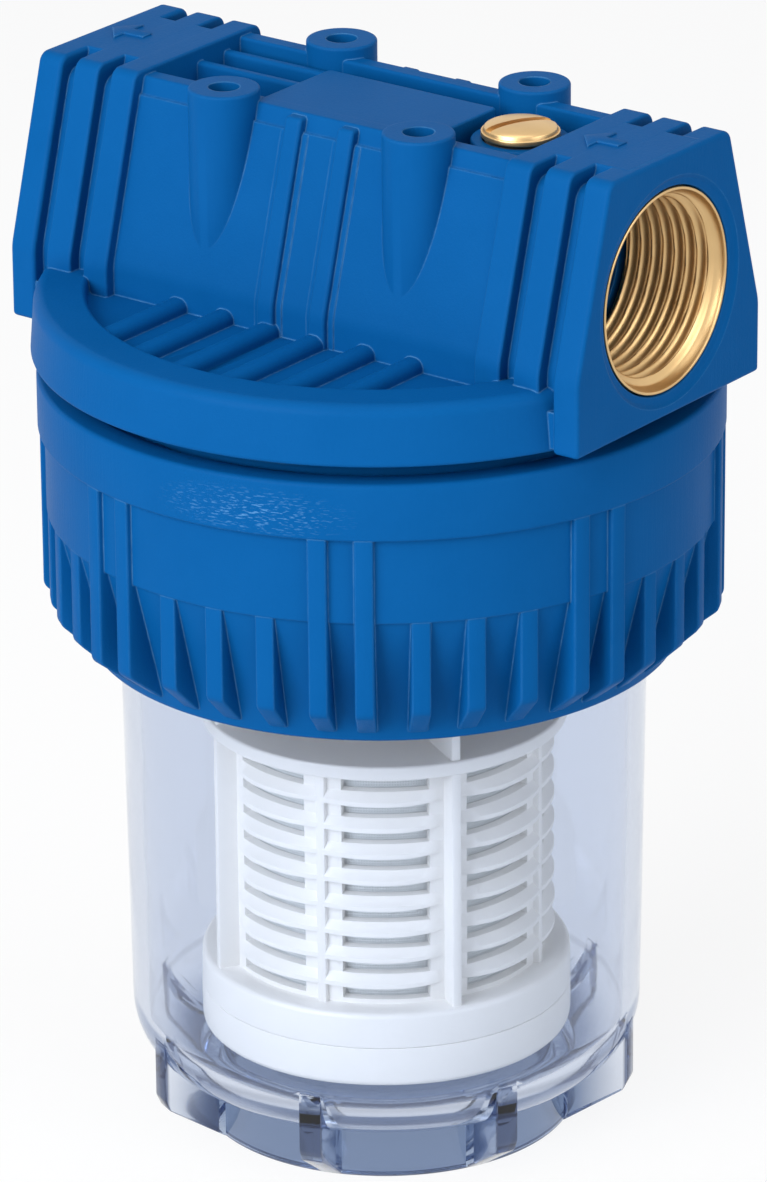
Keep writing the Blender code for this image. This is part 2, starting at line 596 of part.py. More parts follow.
def make_bowl(clear):
    """The clear bowl: foot, rounded corner, drafted wall, flange and grooved spigot."""
    corner_z = FOOT_HEIGHT + BOWL_CORNER
    corner_x = BOWL_RADIUS - BOWL_CORNER
    inner_corner = BOWL_CORNER - BOWL_WALL
    groove_z = FLANGE_TOP_Z + SEAL_GROOVE_FLOOR
    groove_top = groove_z + SEAL_SECTION + 2 * REST_GAP
    outer = [(0.0, FOOT_HEIGHT), (FOOT_RADIUS - FOOT_WALL, FOOT_HEIGHT), (FOOT_RADIUS - FOOT_WALL, 0),
             (FOOT_RADIUS, 0)]
    meet = -math.degrees(math.acos(min(1.0, max(0.05, (FOOT_RADIUS - corner_x) / BOWL_CORNER))))
    outer += arc((corner_x, corner_z), BOWL_CORNER, meet, 0, 3)
    outer += [(BOWL_TOP_RADIUS, BOWL_HEIGHT), (FLANGE_RADIUS, BOWL_HEIGHT),
              (FLANGE_RADIUS, FLANGE_TOP_Z), (SPIGOT_RADIUS, FLANGE_TOP_Z), (SPIGOT_RADIUS, groove_z),
              (SEAL_BED_RADIUS, groove_z), (SEAL_BED_RADIUS, groove_top), (SPIGOT_RADIUS, groove_top),
              (SPIGOT_RADIUS, BOWL_TOP_Z)]
    inner = [(BOWL_BORE, BOWL_TOP_Z), (BOWL_RADIUS - BOWL_WALL, FLOOR_Z + inner_corner)]
    inner += arc((corner_x, FLOOR_Z + inner_corner), inner_corner, 0, -90, 2)[1:]
    stub_z = FLOOR_Z + CENTRING_HEIGHT
    inner += [(CENTRING_RADIUS, FLOOR_Z), (CENTRING_RADIUS, stub_z), (0.0, stub_z)]
    bowl = turned("bowl", outer + inner, LARGE_SIDES, clear)
    root = FOOT_RADIUS - SEAT_OVERLAP
    inward, down = LUG_CHAMFER
    lug_corner = FOOT_HEIGHT - LUG_CORNER_DROP
    lug_top = FOOT_HEIGHT + LUG_RISE
    outline = [(root, LUG_FOOT_Z), (FOOT_RADIUS, LUG_FOOT_Z), (BOWL_RADIUS - inward, lug_corner - down),
               (BOWL_RADIUS, lug_corner), (BOWL_RADIUS, lug_top),
               (BOWL_RADIUS - BOWL_WALL / 2, lug_top), (root, FOOT_HEIGHT + SEAT_OVERLAP)]
    lugs = []
    for i in range(LUG_COUNT):
        lug = slab(f"lug_{i}", outline, -LUG_WIDTH / 2, LUG_WIDTH / 2, "Y")
        lugs.append(turned_about_z(lug, math.tau * i / LUG_COUNT))
    shape_with(bowl, lugs, "UNION")
    bowl.rotation_euler = (0, 0, BOWL_TURN)
    for lug in lugs:
        lug.parent = bowl
    return finish(bowl)


def ring_cone_radius(z):
    """Outer radius of the lock ring's tapered lower part."""
    belt_z = RING_TOP_Z - RING_BAND_HEIGHT - RING_BELT_HEIGHT
    share = (z - RING_BOTTOM_Z) / (belt_z - RING_BOTTOM_Z)
    return RING_FOOT_RADIUS + share * RING_CONE_TAPER


def make_lock_ring(blue):
    """The lock ring: smooth band, belt, tapered foot with grip ribs, and a lip under the bowl's flange."""
    band_z = RING_TOP_Z - RING_BAND_HEIGHT
    belt_z = band_z - RING_BELT_HEIGHT
    lip_radius = BOWL_TOP_RADIUS + RING_LIP_GAP
    pocket_radius = FLANGE_RADIUS + TURN_GAP
    pocket_z = SKIRT_BOTTOM_Z - REST_GAP
    cone_end = pocket_z + RING_BORE - pocket_radius
    section = [(lip_radius, RING_BOTTOM_Z), (RING_FOOT_RADIUS, RING_BOTTOM_Z),
               (RING_CONE_RADIUS, belt_z), (RING_BELT_RADIUS, belt_z),
               (RING_BELT_RADIUS, band_z), (RING_BAND_RADIUS, band_z),
               (RING_BAND_RADIUS, RING_TOP_Z - RING_EDGE), (RING_BAND_RADIUS - RING_EDGE, RING_TOP_Z),
               (RING_BORE, RING_TOP_Z), (RING_BORE, cone_end), (pocket_radius, pocket_z),
               (pocket_radius, RING_SHOULDER_Z), (lip_radius, RING_SHOULDER_Z)]
    ring = turned("lock_ring", section, LARGE_SIDES, blue)
    ribs = make_grip_ribs(band_z, belt_z)
    shape_with(ring, ribs, "UNION")
    ring.rotation_euler = (0, 0, RING_TURN)
    for rib in ribs:
        rib.parent = ring
    return finish(ring)


def make_grip_ribs(band_z, belt_z):
    """Pairs of long ribs up to the band, with short ribs between the pairs."""
    def outline(face_radius, top_z):
        end_z = RING_BOTTOM_Z + GRIP_CHAMFER_END
        chamfer_z = RING_BOTTOM_Z + GRIP_CHAMFER_Z
        root = RING_CONE_RADIUS - SEAT_OVERLAP
        return [(ring_cone_radius(end_z) - SEAT_OVERLAP, end_z), (face_radius, chamfer_z),
                (face_radius, top_z), (root, top_z), (root, belt_z)]

    ribs = []
    for pair in range(GRIP_PAIRS):
        middle = math.tau * pair / GRIP_PAIRS
        long_radius = RING_BAND_RADIUS - GRIP_SINK
        places = [(middle + side * GRIP_PAIR_ANGLE / 2, long_radius, band_z + GRIP_LAP) for side in (-1, 1)]
        first_short = middle + math.pi / GRIP_PAIRS - (GRIP_SHORT_COUNT - 1) / 2 * GRIP_SHORT_ANGLE
        short_radius = RING_BELT_RADIUS - GRIP_SINK
        places += [(first_short + i * GRIP_SHORT_ANGLE, short_radius, belt_z + GRIP_LAP)
                   for i in range(GRIP_SHORT_COUNT)]
        for angle, radius, top_z in places:
            name = f"grip_rib_{len(ribs)}"
            rib = slab(name, outline(radius, top_z), -GRIP_RIB_WIDTH / 2, GRIP_RIB_WIDTH / 2, "Y")
            ribs.append(turned_about_z(rib, angle))
    return ribs


def make_louvre_wall():
    """The cage's wall: a flat with a column of louvred slits in each window, and a post between windows."""
    bm = bmesh.new()
    bore = CAGE_RADIUS - CAGE_WALL
    slits = [CAGE_Z + FIRST_SLIT + i * SLIT_PITCH for i in range(SLIT_ROWS)]
    slit_edges = [z + rise for z in slits for rise in (0, SLIT_HEIGHT)]
    levels = [CAGE_Z - SEAT_OVERLAP] + slit_edges + [SHELF_Z + SEAT_OVERLAP]
    top = len(levels) - 1

    def upright(radius, angle, heights):
        return [bm.verts.new((radius * math.cos(angle), radius * math.sin(angle), z)) for z in heights]

    def window_edge(angle):
        lips = upright(LOUVRE_RADIUS, angle, [levels[j] + LIP_RISE for j in range(2, top - 1, 2)])
        return upright(CAGE_RADIUS, angle, levels), upright(bore, angle, levels), lips

    middles = [math.tau * i / WINDOW_COUNT for i in range(WINDOW_COUNT)]
    windows = [(window_edge(a - WINDOW_ANGLE / 2), window_edge(a + WINDOW_ANGLE / 2)) for a in middles]
    for (out_a, in_a, lips_a), (out_b, in_b, lips_b) in windows:
        for j in range(top):
            if j % 2 == 1:
                bm.faces.new((out_a[j], out_b[j], in_b[j], in_a[j]))
                bm.faces.new((out_a[j + 1], in_a[j + 1], in_b[j + 1], out_b[j + 1]))
                bm.faces.new((out_a[j], in_a[j], in_a[j + 1], out_a[j + 1]))
                bm.faces.new((out_b[j], out_b[j + 1], in_b[j + 1], in_b[j]))
                continue
            bm.faces.new((in_a[j], in_a[j + 1], in_b[j + 1], in_b[j]))
            if 0 < j < top - 1:
                lip_a, lip_b = lips_a[j // 2 - 1], lips_b[j // 2 - 1]
                bm.faces.new((out_a[j], out_b[j], lip_b, lip_a))
                bm.faces.new((lip_a, lip_b, out_b[j + 1], out_a[j + 1]))
                bm.faces.new((out_a[j], lip_a, out_a[j + 1]))
                bm.faces.new((out_b[j], out_b[j + 1], lip_b))
            else:
                bm.faces.new((out_a[j], out_b[j], out_b[j + 1], out_a[j + 1]))
    uprights = [edge for window in windows for edge in window]
    for (out_a, in_a, _), (out_b, in_b, _) in zip(uprights, uprights[1:] + uprights[:1]):
        bm.faces.new((out_a[0], in_a[0], in_b[0], out_b[0]))
        bm.faces.new((out_a[top], out_b[top], in_b[top], in_a[top]))
    for (_, right), (left, _) in zip(windows, windows[1:] + windows[:1]):
        bm.faces.new(right[0] + left[0][::-1])
        bm.faces.new(left[1] + right[1][::-1])
    return bm


def make_cartridge_body(white):
    """The cartridge moulding: base ring, louvred cage, shelf, webs, neck and top plate."""
    body = new_object("cartridge_body", make_louvre_wall(), white)
    bore = CAGE_RADIUS - CAGE_WALL
    neck_bore = NECK_RADIUS - NECK_WALL
    base = turned("base_ring", [(bore, BASE_Z), (CAP_RADIUS, BASE_Z), (CAP_RADIUS, CAGE_Z), (bore, CAGE_Z)],
                  WINDOW_COUNT * 3)
    shelf_top = SHELF_Z + SHELF_HEIGHT
    plate_z = CARTRIDGE_TOP_Z - TOP_PLATE_HEIGHT
    upper = turned("neck", [(neck_bore, SHELF_Z), (SHELF_RADIUS, SHELF_Z), (SHELF_RADIUS, shelf_top),
                            (NECK_RADIUS, shelf_top), (NECK_RADIUS, plate_z), (POST_RADIUS, plate_z),
                            (POST_RADIUS, CARTRIDGE_TOP_Z), (neck_bore, CARTRIDGE_TOP_Z)], WINDOW_COUNT * 3)
    lap = SEAT_OVERLAP / 2
    post_root = CAGE_RADIUS - CAGE_WALL / 2
    web_root = NECK_RADIUS - NECK_WALL / 2
    web_edge = POST_RADIUS - WEB_INSET
    posts = [[(post_root, CAGE_Z - lap), (edge, CAGE_Z - lap), (edge, SHELF_Z + lap), (post_root, SHELF_Z + lap)]
             for edge in (LOUVRE_RADIUS, POST_RADIUS)]
    web = [(web_root, shelf_top - lap), (web_edge, shelf_top - lap), (web_edge, plate_z + lap),
           (web_root, plate_z + lap)]
    tools = [base, upper]
    places = [("post", posts[i % 2], i) for i in range(WINDOW_COUNT)]
    places += [("web", web, i) for i in range(1, WINDOW_COUNT, 2)]
    for label, outline, i in places:
        fin = slab(f"{label}_{i}", outline, -POST_THICKNESS / 2, POST_THICKNESS / 2, "Y")
        tools.append(turned_about_z(fin, math.tau * (i + 0.5) / WINDOW_COUNT))
    shape_with(body, tools, "UNION")
    body.rotation_euler = (0, 0, CARTRIDGE_TURN)
    for tool in tools:
        tool.parent = body
    return finish(body)


def make_cartridge_cap(white):
    """The cap under the cartridge, open over the bowl's centring ring."""
    bore = CAGE_RADIUS - CAGE_WALL
    section = [(GASKET_BORE, CAP_Z), (CAP_RADIUS - CAP_CHAMFER, CAP_Z), (CAP_RADIUS, CAP_Z + CAP_CHAMFER),
               (CAP_RADIUS, CAP_Z + CAP_HEIGHT), (bore, CAP_Z + CAP_HEIGHT), (bore, CAP_Z + CAP_FLOOR),
               (GASKET_BORE, CAP_Z + CAP_FLOOR)]
    return finish(turned("cartridge_cap", section, WINDOW_COUNT * 3, white))


def make_mesh_sleeve(grey):
    """The fine sieve cloth inside the cage, drawn as one closed sleeve."""
    outer = (CAGE_RADIUS - CAGE_WALL) * math.cos(WINDOW_ANGLE / 2) - REST_GAP
    low = CAP_Z + CAP_FLOOR + REST_GAP
    high = SHELF_Z - REST_GAP
    section = [(outer - MESH_THICKNESS, low), (outer, low), (outer, high), (outer - MESH_THICKNESS, high)]
    return finish(turned("mesh_sleeve", section, WINDOW_COUNT * 2, grey))


def make_gasket(name, z, rubber):
    """A flat rubber gasket at one end of the cartridge."""
    section = [(GASKET_BORE, z), (GASKET_RADIUS, z), (GASKET_RADIUS, z + GASKET_THICKNESS),
               (GASKET_BORE, z + GASKET_THICKNESS)]
    return finish(turned(name, section, BOSS_SIDES, rubber))


def keep_place(child, parent):
    """Parent a piece without moving it."""
    bpy.context.view_layer.update()
    child.parent = parent
    child.matrix_parent_inverse = parent.matrix_world.inverted()


def main():
    for old in list(bpy.data.objects):
        bpy.data.objects.remove(old, do_unlink=True)
    blue = material("blue_plastic", (0.0, 0.09, 0.38), 0.38)
    brass = material("brass", (0.80, 0.56, 0.26), 0.25, metallic=1.0)
    clear = material("clear_plastic", (0.80, 0.86, 0.95), 0.05, alpha=0.35)
    white = material("white_plastic", (0.88, 0.89, 0.90), 0.45)
    grey = material("sieve_cloth", (0.45, 0.48, 0.50), 0.6)
    rubber = material("rubber", (0.02, 0.02, 0.02), 0.6)

    bowl = make_bowl(clear)
    seal = make_ring_seal("bowl_seal", SEAL_RADIUS, SEAL_SECTION, rubber, LARGE_SIDES)
    seal.location.z = (FLANGE_TOP_Z + SEAL_GROOVE_FLOOR + REST_GAP + SEAL_SECTION / 2) * MM
    cartridge = [make_cartridge_body(white), make_cartridge_cap(white), make_mesh_sleeve(grey),
                 make_gasket("bottom_gasket", FLOOR_Z + REST_GAP, rubber),
                 make_gasket("top_gasket", CARTRIDGE_TOP_Z + REST_GAP, rubber)]
    lock_ring = make_lock_ring(blue)
    head = make_head(blue)
    inserts = [make_insert("inlet_insert", 1, brass), make_insert("outlet_insert", -1, brass)]
    vent_screw = make_vent_screw(brass)
    vent_seal = make_ring_seal("vent_seal", VENT_SHANK_RADIUS + REST_GAP + VENT_SEAL_SECTION / 2,
                               VENT_SEAL_SECTION, rubber, BOSS_SIDES)
    vent_seal.location = (VENT_X * MM, 0, (VENT_PAD_Z - VENT_SEAL_SECTION / 2) * MM)
    for piece in cartridge + [seal, lock_ring, head]:
        keep_place(piece, bowl)
    for piece in inserts + [vent_screw, vent_seal]:
        keep_place(piece, head)


main()
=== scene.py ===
import math

import bmesh
import bpy
from mathutils import Matrix, Vector


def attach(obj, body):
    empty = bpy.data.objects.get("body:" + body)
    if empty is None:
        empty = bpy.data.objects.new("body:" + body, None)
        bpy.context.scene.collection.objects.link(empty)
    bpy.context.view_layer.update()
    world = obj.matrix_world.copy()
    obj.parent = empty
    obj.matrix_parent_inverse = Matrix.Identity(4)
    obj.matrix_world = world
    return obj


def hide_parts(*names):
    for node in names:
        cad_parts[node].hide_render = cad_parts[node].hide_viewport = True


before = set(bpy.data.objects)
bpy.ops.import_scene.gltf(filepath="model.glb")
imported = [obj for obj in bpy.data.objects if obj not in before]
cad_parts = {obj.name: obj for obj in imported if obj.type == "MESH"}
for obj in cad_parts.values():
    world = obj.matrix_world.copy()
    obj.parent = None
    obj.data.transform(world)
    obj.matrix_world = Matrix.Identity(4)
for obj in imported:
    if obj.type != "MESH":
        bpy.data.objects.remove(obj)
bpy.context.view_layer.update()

# The bowl is one clear injection moulding. A drafted cup stands on a foot ring with eight lugs for a
# strap wrench. Its flange is what the lock ring lifts, and its spigot has a groove for the seal.
MM = 0.001
BOWL_TURN = math.radians(19.7)
BOWL_DRAFT = math.tan(math.radians(0.8))
BOWL_RADIUS = 44.9
BOWL_CORNER = 12.0
BOWL_WALL = 2.6
FOOT_RADIUS = 33.3
FOOT_BORE = 29.7
FOOT_HEIGHT = 10.0
FLOOR_Z = 13.5
SEAT_RADIUS = 12.0
SEAT_BORE = 10.0
SEAT_HEIGHT = 5.5
FLANGE_Z = 104.3
FLANGE_TOP_Z = 109.3
FLANGE_PROUD = 5.1
SPIGOT_TOP_Z = 121.0
SPIGOT_PROUD = 2.5
GROOVE_Z = 115.7
GROOVE_TOP_Z = 119.3
GROOVE_RADIUS = 46.45
LUG_COUNT = 8
LUG_WIDTH = 4.0
LUG_BOTTOM_Z = 0.4
LUG_TOP_Z = 20.8
LUG_SLOPE_TOP_Z = 7.6
LUG_FRONT_Z = 9.8
LUG_ROOT = 1.4
CLEAR_TINT = (0.817, 0.855, 0.931, 1)
# The foot and lug colours below are painted shade: they darken the foot's walls and the lugs' fronts.
FOOT_PAINTED_SHADE = (0.20, 0.27, 0.42, 1)
FOOT_SHADE_HEIGHTS = (0.024, 0.013)
FOOT_SHADE_RADII = (0.043, 0.035)
LUG_PAINTED_SHADE = (0.06, 0.08, 0.15, 1)
LUG_SHADE_HEIGHTS = (0.0195, 0.0175)
LUG_SHADE_RADII = (0.0440, 0.0445)
LONGEST_CORNER = 0.48


def rounded(corners, steps=5):
    """Points of an outline whose corners are given as (x, y, radius). A corner takes up to nearly half of the
    straight stretches beside it."""
    points = []
    for i, (x, y, radius) in enumerate(corners):
        if radius == 0:
            points.append((x, y))
            continue
        here = Vector((x, y))
        back = Vector(corners[i - 1][:2]) - here
        ahead = Vector(corners[(i + 1) % len(corners)][:2]) - here
        half = back.angle(ahead) / 2
        reach = min(radius / math.tan(half), LONGEST_CORNER * back.length, LONGEST_CORNER * ahead.length)
        inward = (back.normalized() + ahead.normalized()).normalized()
        centre = here + inward * reach / math.cos(half)
        start = here + back.normalized() * reach - centre
        end = here + ahead.normalized() * reach - centre
        first = math.atan2(start.y, start.x)
        turn = math.remainder(math.atan2(end.y, end.x) - first, math.tau)
        for k in range(steps + 1):
            angle = first + turn * k / steps
            points.append((centre.x + start.length * math.cos(angle),
                           centre.y + start.length * math.sin(angle)))
    return points


def settled(name, bm, finish, sharp=38):
    """A mesh drawn in millimetres as an object in metres, smooth except at its real edges."""
    bmesh.ops.scale(bm, vec=(MM, MM, MM), verts=bm.verts)
    bmesh.ops.remove_doubles(bm, verts=bm.verts, dist=1e-7)
    bmesh.ops.recalc_face_normals(bm, faces=bm.faces)
    mesh = bpy.data.meshes.new(name)
    bm.to_mesh(mesh)
    bm.free()
    mesh.shade_smooth()
    mesh.set_sharp_from_angle(angle=math.radians(sharp))
    mesh.materials.append(finish)
    piece = bpy.data.objects.new(name, mesh)
    bpy.context.scene.collection.objects.link(piece)
    return piece


def turned(name, outline, sides, finish, swell=None):
    """Turn a closed outline of (radius, z) points about z. swell(radius, z, angle) moves a point outwards."""
    bm = bmesh.new()
    rings = []
    for side in range(sides):
        angle = math.tau * side / sides
        ring = []
        for radius, z in outline:
            far = radius + (swell(radius, z, angle) if swell else 0.0)
            ring.append(bm.verts.new((far * math.cos(angle), far * math.sin(angle), z)))
        rings.append(ring)
    for ring, following in zip(rings, rings[1:] + rings[:1]):
        for i in range(len(outline)):
            j = (i + 1) % len(outline)
            bm.faces.new((ring[i], following[i], following[j], ring[j]))
    return settled(name, bm, finish)


def slab(name, outline, low, high, axis, finish):
    """Carry an outline along an axis: (y, z) points along X, (x, z) along Y, (x, y) along Z."""
    places = {"X": lambda a, b, c: (c, a, b), "Y": lambda a, b, c: (a, c, b), "Z": lambda a, b, c: (a, b, c)}
    bm = bmesh.new()
    near, far = [[bm.verts.new(places[axis](a, b, c)) for a, b in outline] for c in (low, high)]
    bm.faces.new(near)
    bm.faces.new(far[::-1])
    for i in range(len(outline)):
        j = (i + 1) % len(outline)
        bm.faces.new((near[i], far[i], far[j], near[j]))
    return settled(name, bm, finish)


def applied(piece, sharp=38):
    """Keep what a piece's modifiers make of it as its own mesh."""
    depsgraph = bpy.context.evaluated_depsgraph_get()
    mesh = bpy.data.meshes.new_from_object(piece.evaluated_get(depsgraph))
    piece.modifiers.clear()
    piece.data = mesh
    mesh.shade_smooth()
    mesh.set_sharp_from_angle(angle=math.radians(sharp))
    return piece


def worked(piece, tools, operation, sharp=38):
    """Join tools to a piece, or cut them from it."""
    group = bpy.data.collections.new("tools")
    for tool in tools:
        group.objects.link(tool)
    modifier = piece.modifiers.new(operation.title(), "BOOLEAN")
    modifier.operation = operation
    modifier.operand_type = "COLLECTION"
    modifier.collection = group
    modifier.solver = "EXACT"
    applied(piece, sharp)
    for tool in tools:
        bpy.data.objects.remove(tool)
    bpy.data.collections.remove(group)
    return piece


def eased(piece, width, segments=2, angle=40):
    """Break the sharp edges of a piece as its mould does."""
    modifier = piece.modifiers.new("Eased edges", "BEVEL")
    modifier.width = width * MM
    modifier.segments = segments
    modifier.limit_method = "ANGLE"
    modifier.angle_limit = math.radians(angle)
    return applied(piece)


def turned_by(piece, angle, axis="Z"):
    """Turn a piece's own mesh about an axis through the origin."""
    piece.data.transform(Matrix.Rotation(angle, 4, axis))
    return piece


def add(tree, kind, inputs=None, **settings):
    """Add a node with its settings; an input is a value or another node's output."""
    made = tree.nodes.new(kind)
    for key, value in settings.items():
        setattr(made, key, value)
    for key, value in (inputs or {}).items():
        if isinstance(value, bpy.types.NodeSocket):
            tree.links.new(value, made.inputs[key])
        else:
            made.inputs[key].default_value = value
    return made


def new_finish(name, **values):
    """A material with constant values set on its shader's own sockets."""
    made = bpy.data.materials.new(name)
    made.use_nodes = True
    surface = made.node_tree.nodes["Principled BSDF"]
    for key, value in values.items():
        surface.inputs[key.replace("_", " ")].default_value = value
    return made, made.node_tree, surface


def connect(tree, node, **sockets):
    """Link outputs to a node's own sockets."""
    for key, output in sockets.items():
        tree.links.new(output, node.inputs[key.replace("_", " ")])


def fade(tree, value, span, to=(0.0, 1.0)):
    """A value that passes from one end of to to the other, while the given one crosses its span."""
    return add(tree, "ShaderNodeMapRange", {"Value": value, "From Min": span[0], "From Max": span[1],
                                            "To Min": to[0], "To Max": to[1]}).outputs["Result"]


def figure(tree, operation, *values):
    """The result of one sum."""
    return add(tree, "ShaderNodeMath", dict(enumerate(values)), operation=operation).outputs[0]


def noise(tree, place, scale, detail, roughness=0.5):
    """Cloudy unevenness between 0 and 1."""
    return add(tree, "ShaderNodeTexNoise", {"Vector": place, "Scale": scale, "Detail": detail,
                                            "Roughness": roughness}).outputs["Fac"]


def bumped(tree, height, strength, distance, **under):
    """The way that a finely uneven surface faces."""
    return add(tree, "ShaderNodeBump", {"Height": height, "Strength": strength, "Distance": distance,
                                        **under}).outputs["Normal"]


def blend(tree, share, first, second):
    """One colour going over into another."""
    colours = {"Factor": share, "A": first, "B": second}
    return add(tree, "ShaderNodeMix", colours, data_type="RGBA").outputs["Result"]


def mixed(tree, share, first, second):
    """Two shaders, of which the second has the share."""
    return add(tree, "ShaderNodeMixShader", {"Fac": share, 1: first, 2: second}).outputs[0]


def clear_moulding():
    """Clear, faintly blue plastic, hazier in its thick foot. Painted shade darkens the foot, and the lugs'
    fronts most. Light that has crossed many walls goes straight on, as it would be lost otherwise."""
    made, tree, surface = new_finish("clear_moulding", IOR=1.49, Transmission_Weight=1.0)
    place = add(tree, "ShaderNodeTexCoord").outputs["Object"]
    height = add(tree, "ShaderNodeSeparateXYZ", {"Vector": place}).outputs["Z"]
    level = add(tree, "ShaderNodeMapping", {"Vector": place, "Scale": (1.0, 1.0, 0.0)}).outputs["Vector"]
    radius = add(tree, "ShaderNodeVectorMath", {0: level}, operation="LENGTH").outputs["Value"]
    # Painted shade: the foot's inner walls and the lugs' fronts get a darker tint, by height and radius.
    foot_shade_mask = figure(tree, "MULTIPLY", fade(tree, height, FOOT_SHADE_HEIGHTS),
                     fade(tree, radius, FOOT_SHADE_RADII))
    lug_shade_mask = figure(tree, "MULTIPLY", fade(tree, radius, LUG_SHADE_RADII), fade(tree, height, LUG_SHADE_HEIGHTS))
    tint_and_shade = blend(tree, lug_shade_mask, blend(tree, foot_shade_mask, CLEAR_TINT, FOOT_PAINTED_SHADE), LUG_PAINTED_SHADE)
    haze = fade(tree, height, FOOT_SHADE_HEIGHTS, to=(0.03, 0.08))
    waves = noise(tree, place, scale=60.0, detail=1.0)
    relief = bumped(tree, waves, strength=0.04, distance=0.002)
    connect(tree, surface, Base_Color=tint_and_shade, Roughness=haze, Normal=relief)
    ray = add(tree, "ShaderNodeLightPath").outputs
    far = figure(tree, "GREATER_THAN", ray["Ray Depth"], 7.5)
    trapped = figure(tree, "GREATER_THAN", ray["Glossy Depth"], 2.5)
    dim_way = add(tree, "ShaderNodeBsdfTransparent", {"Color": (0.50, 0.56, 0.68, 1)})
    body = mixed(tree, figure(tree, "MAXIMUM", far, trapped), surface.outputs[0], dim_way.outputs[0])
    weak = figure(tree, "MAXIMUM", ray["Is Shadow Ray"], ray["Is Diffuse Ray"])
    daylight = add(tree, "ShaderNodeBsdfTransparent", {"Color": (0.96, 0.975, 0.99, 1)})
    whole = mixed(tree, weak, body, daylight.outputs[0])
    depth = add(tree, "ShaderNodeVolumeAbsorption", {"Color": (0.17, 0.34, 0.60, 1), "Density": 30.0})
    connect(tree, tree.nodes["Material Output"], Surface=whole, Volume=depth.outputs[0])
    return made


clear_finish = clear_moulding()


def quarter(centre_x, centre_z, radius, first, last):
    """Points of an arc in the outline's plane, by its start and end angles in degrees."""
    angles = [math.radians(first + (last - first) * k / 10) for k in range(11)]
    return [(centre_x + radius * math.cos(a), centre_z + radius * math.sin(a), 0) for a in angles]


def make_bowl():
    """The turned cup, from the recess under its foot over the outside to its floor, with the lugs."""
    corner_x = BOWL_RADIUS - BOWL_CORNER
    inner_corner = BOWL_CORNER - BOWL_WALL
    outer_arc = quarter(corner_x, FOOT_HEIGHT + BOWL_CORNER, BOWL_CORNER, -80, 0)
    inner_arc = quarter(corner_x, FLOOR_Z + inner_corner, inner_corner, 0, -90)
    rim = BOWL_RADIUS + (FLANGE_Z - FOOT_HEIGHT - BOWL_CORNER) * BOWL_DRAFT
    bore = rim - BOWL_WALL
    flange = rim + FLANGE_PROUD
    spigot = rim + SPIGOT_PROUD
    seat_z = FLOOR_Z + SEAT_HEIGHT
    outline = rounded([
        (0.0, FOOT_HEIGHT, 0), (FOOT_BORE, FOOT_HEIGHT, 1.2), (FOOT_BORE, 0, 0.7), (FOOT_RADIUS, 0, 0.9),
        (FOOT_RADIUS, FOOT_HEIGHT, 0.4), *outer_arc, (rim, FLANGE_Z, 0.8), (flange, FLANGE_Z, 0.6),
        (flange, FLANGE_TOP_Z, 0.6), (spigot, FLANGE_TOP_Z, 0.5), (spigot, GROOVE_Z, 0.3),
        (GROOVE_RADIUS, GROOVE_Z, 0.3), (GROOVE_RADIUS, GROOVE_TOP_Z, 0.3), (spigot, GROOVE_TOP_Z, 0.3),
        (spigot, SPIGOT_TOP_Z, 0.8), (bore, SPIGOT_TOP_Z, 0.8), *inner_arc, (SEAT_RADIUS, FLOOR_Z, 0.6),
        (SEAT_RADIUS, seat_z, 0.6), (SEAT_BORE, seat_z, 0.6), (SEAT_BORE, FLOOR_Z, 0.6), (0.0, FLOOR_Z, 0)], 8)
    bowl = turned("clear_bowl", outline, 160, clear_finish)
    root = FOOT_RADIUS - LUG_ROOT
    lug_outline = rounded([
        (root, LUG_BOTTOM_Z, 0), (FOOT_RADIUS, LUG_BOTTOM_Z, 0.5), (BOWL_RADIUS - 1.0, LUG_SLOPE_TOP_Z, 1.2),
        (BOWL_RADIUS, LUG_FRONT_Z, 2.0), (BOWL_RADIUS, LUG_TOP_Z, 0.5), (BOWL_RADIUS - 1.3, LUG_TOP_Z, 0),
        (root, FOOT_HEIGHT + 1, 0)])
    lugs = []
    for i in range(LUG_COUNT):
        lug = slab(f"lug_{i}", lug_outline, -LUG_WIDTH / 2, LUG_WIDTH / 2, "Y", clear_finish)
        lugs.append(turned_by(eased(lug, 0.35, 2, 60), math.tau * i / LUG_COUNT))
    worked(bowl, lugs, "UNION")
    return turned_by(bowl, BOWL_TURN)


bowl = make_bowl()
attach(bowl, "bowl")
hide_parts("bowl")

# The bowl's seal is a black rubber ring of 3 mm section. It sits in the spigot's groove and is pressed
# against the inside of the head's skirt.
BOWL_SEAL_RADIUS = 48.25
BOWL_SEAL_Z = 117.5
SEAL_SECTION = 1.5


def two_tones(tree, value, dark, light, start=0.0):
    """A colour between two tones; up to start it stays the first."""
    ramp = add(tree, "ShaderNodeValToRGB", {"Fac": value})
    first, last = ramp.color_ramp.elements
    first.position = start
    first.color = (*dark, 1)
    last.color = (*light, 1)
    return ramp.outputs["Color"]


def moulded_rubber():
    """Black rubber with a faint bloom and a fine matt skin."""
    made, tree, surface = new_finish("moulded_rubber", Roughness=0.55)
    place = add(tree, "ShaderNodeTexCoord").outputs["Object"]
    bloom = noise(tree, place, scale=220.0, detail=4.0)
    shade = two_tones(tree, bloom, (0.012, 0.012, 0.013), (0.04, 0.04, 0.042))
    skin = noise(tree, place, scale=2500.0, detail=2.0)
    connect(tree, surface, Base_Color=shade, Normal=bumped(tree, skin, strength=0.3, distance=0.0002))
    return made


rubber_finish = moulded_rubber()


def round_ring(name, radius, section, z, sides, finish):
    """A ring of round section."""
    outline = [(radius + section * math.cos(a), z + section * math.sin(a))
               for a in (math.tau * i / 20 for i in range(20))]
    return turned(name, outline, sides, finish)


bowl_seal = round_ring("bowl_o_ring", BOWL_SEAL_RADIUS, SEAL_SECTION, BOWL_SEAL_Z, 128, rubber_finish)
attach(bowl_seal, "bowl")
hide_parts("bowl_seal")

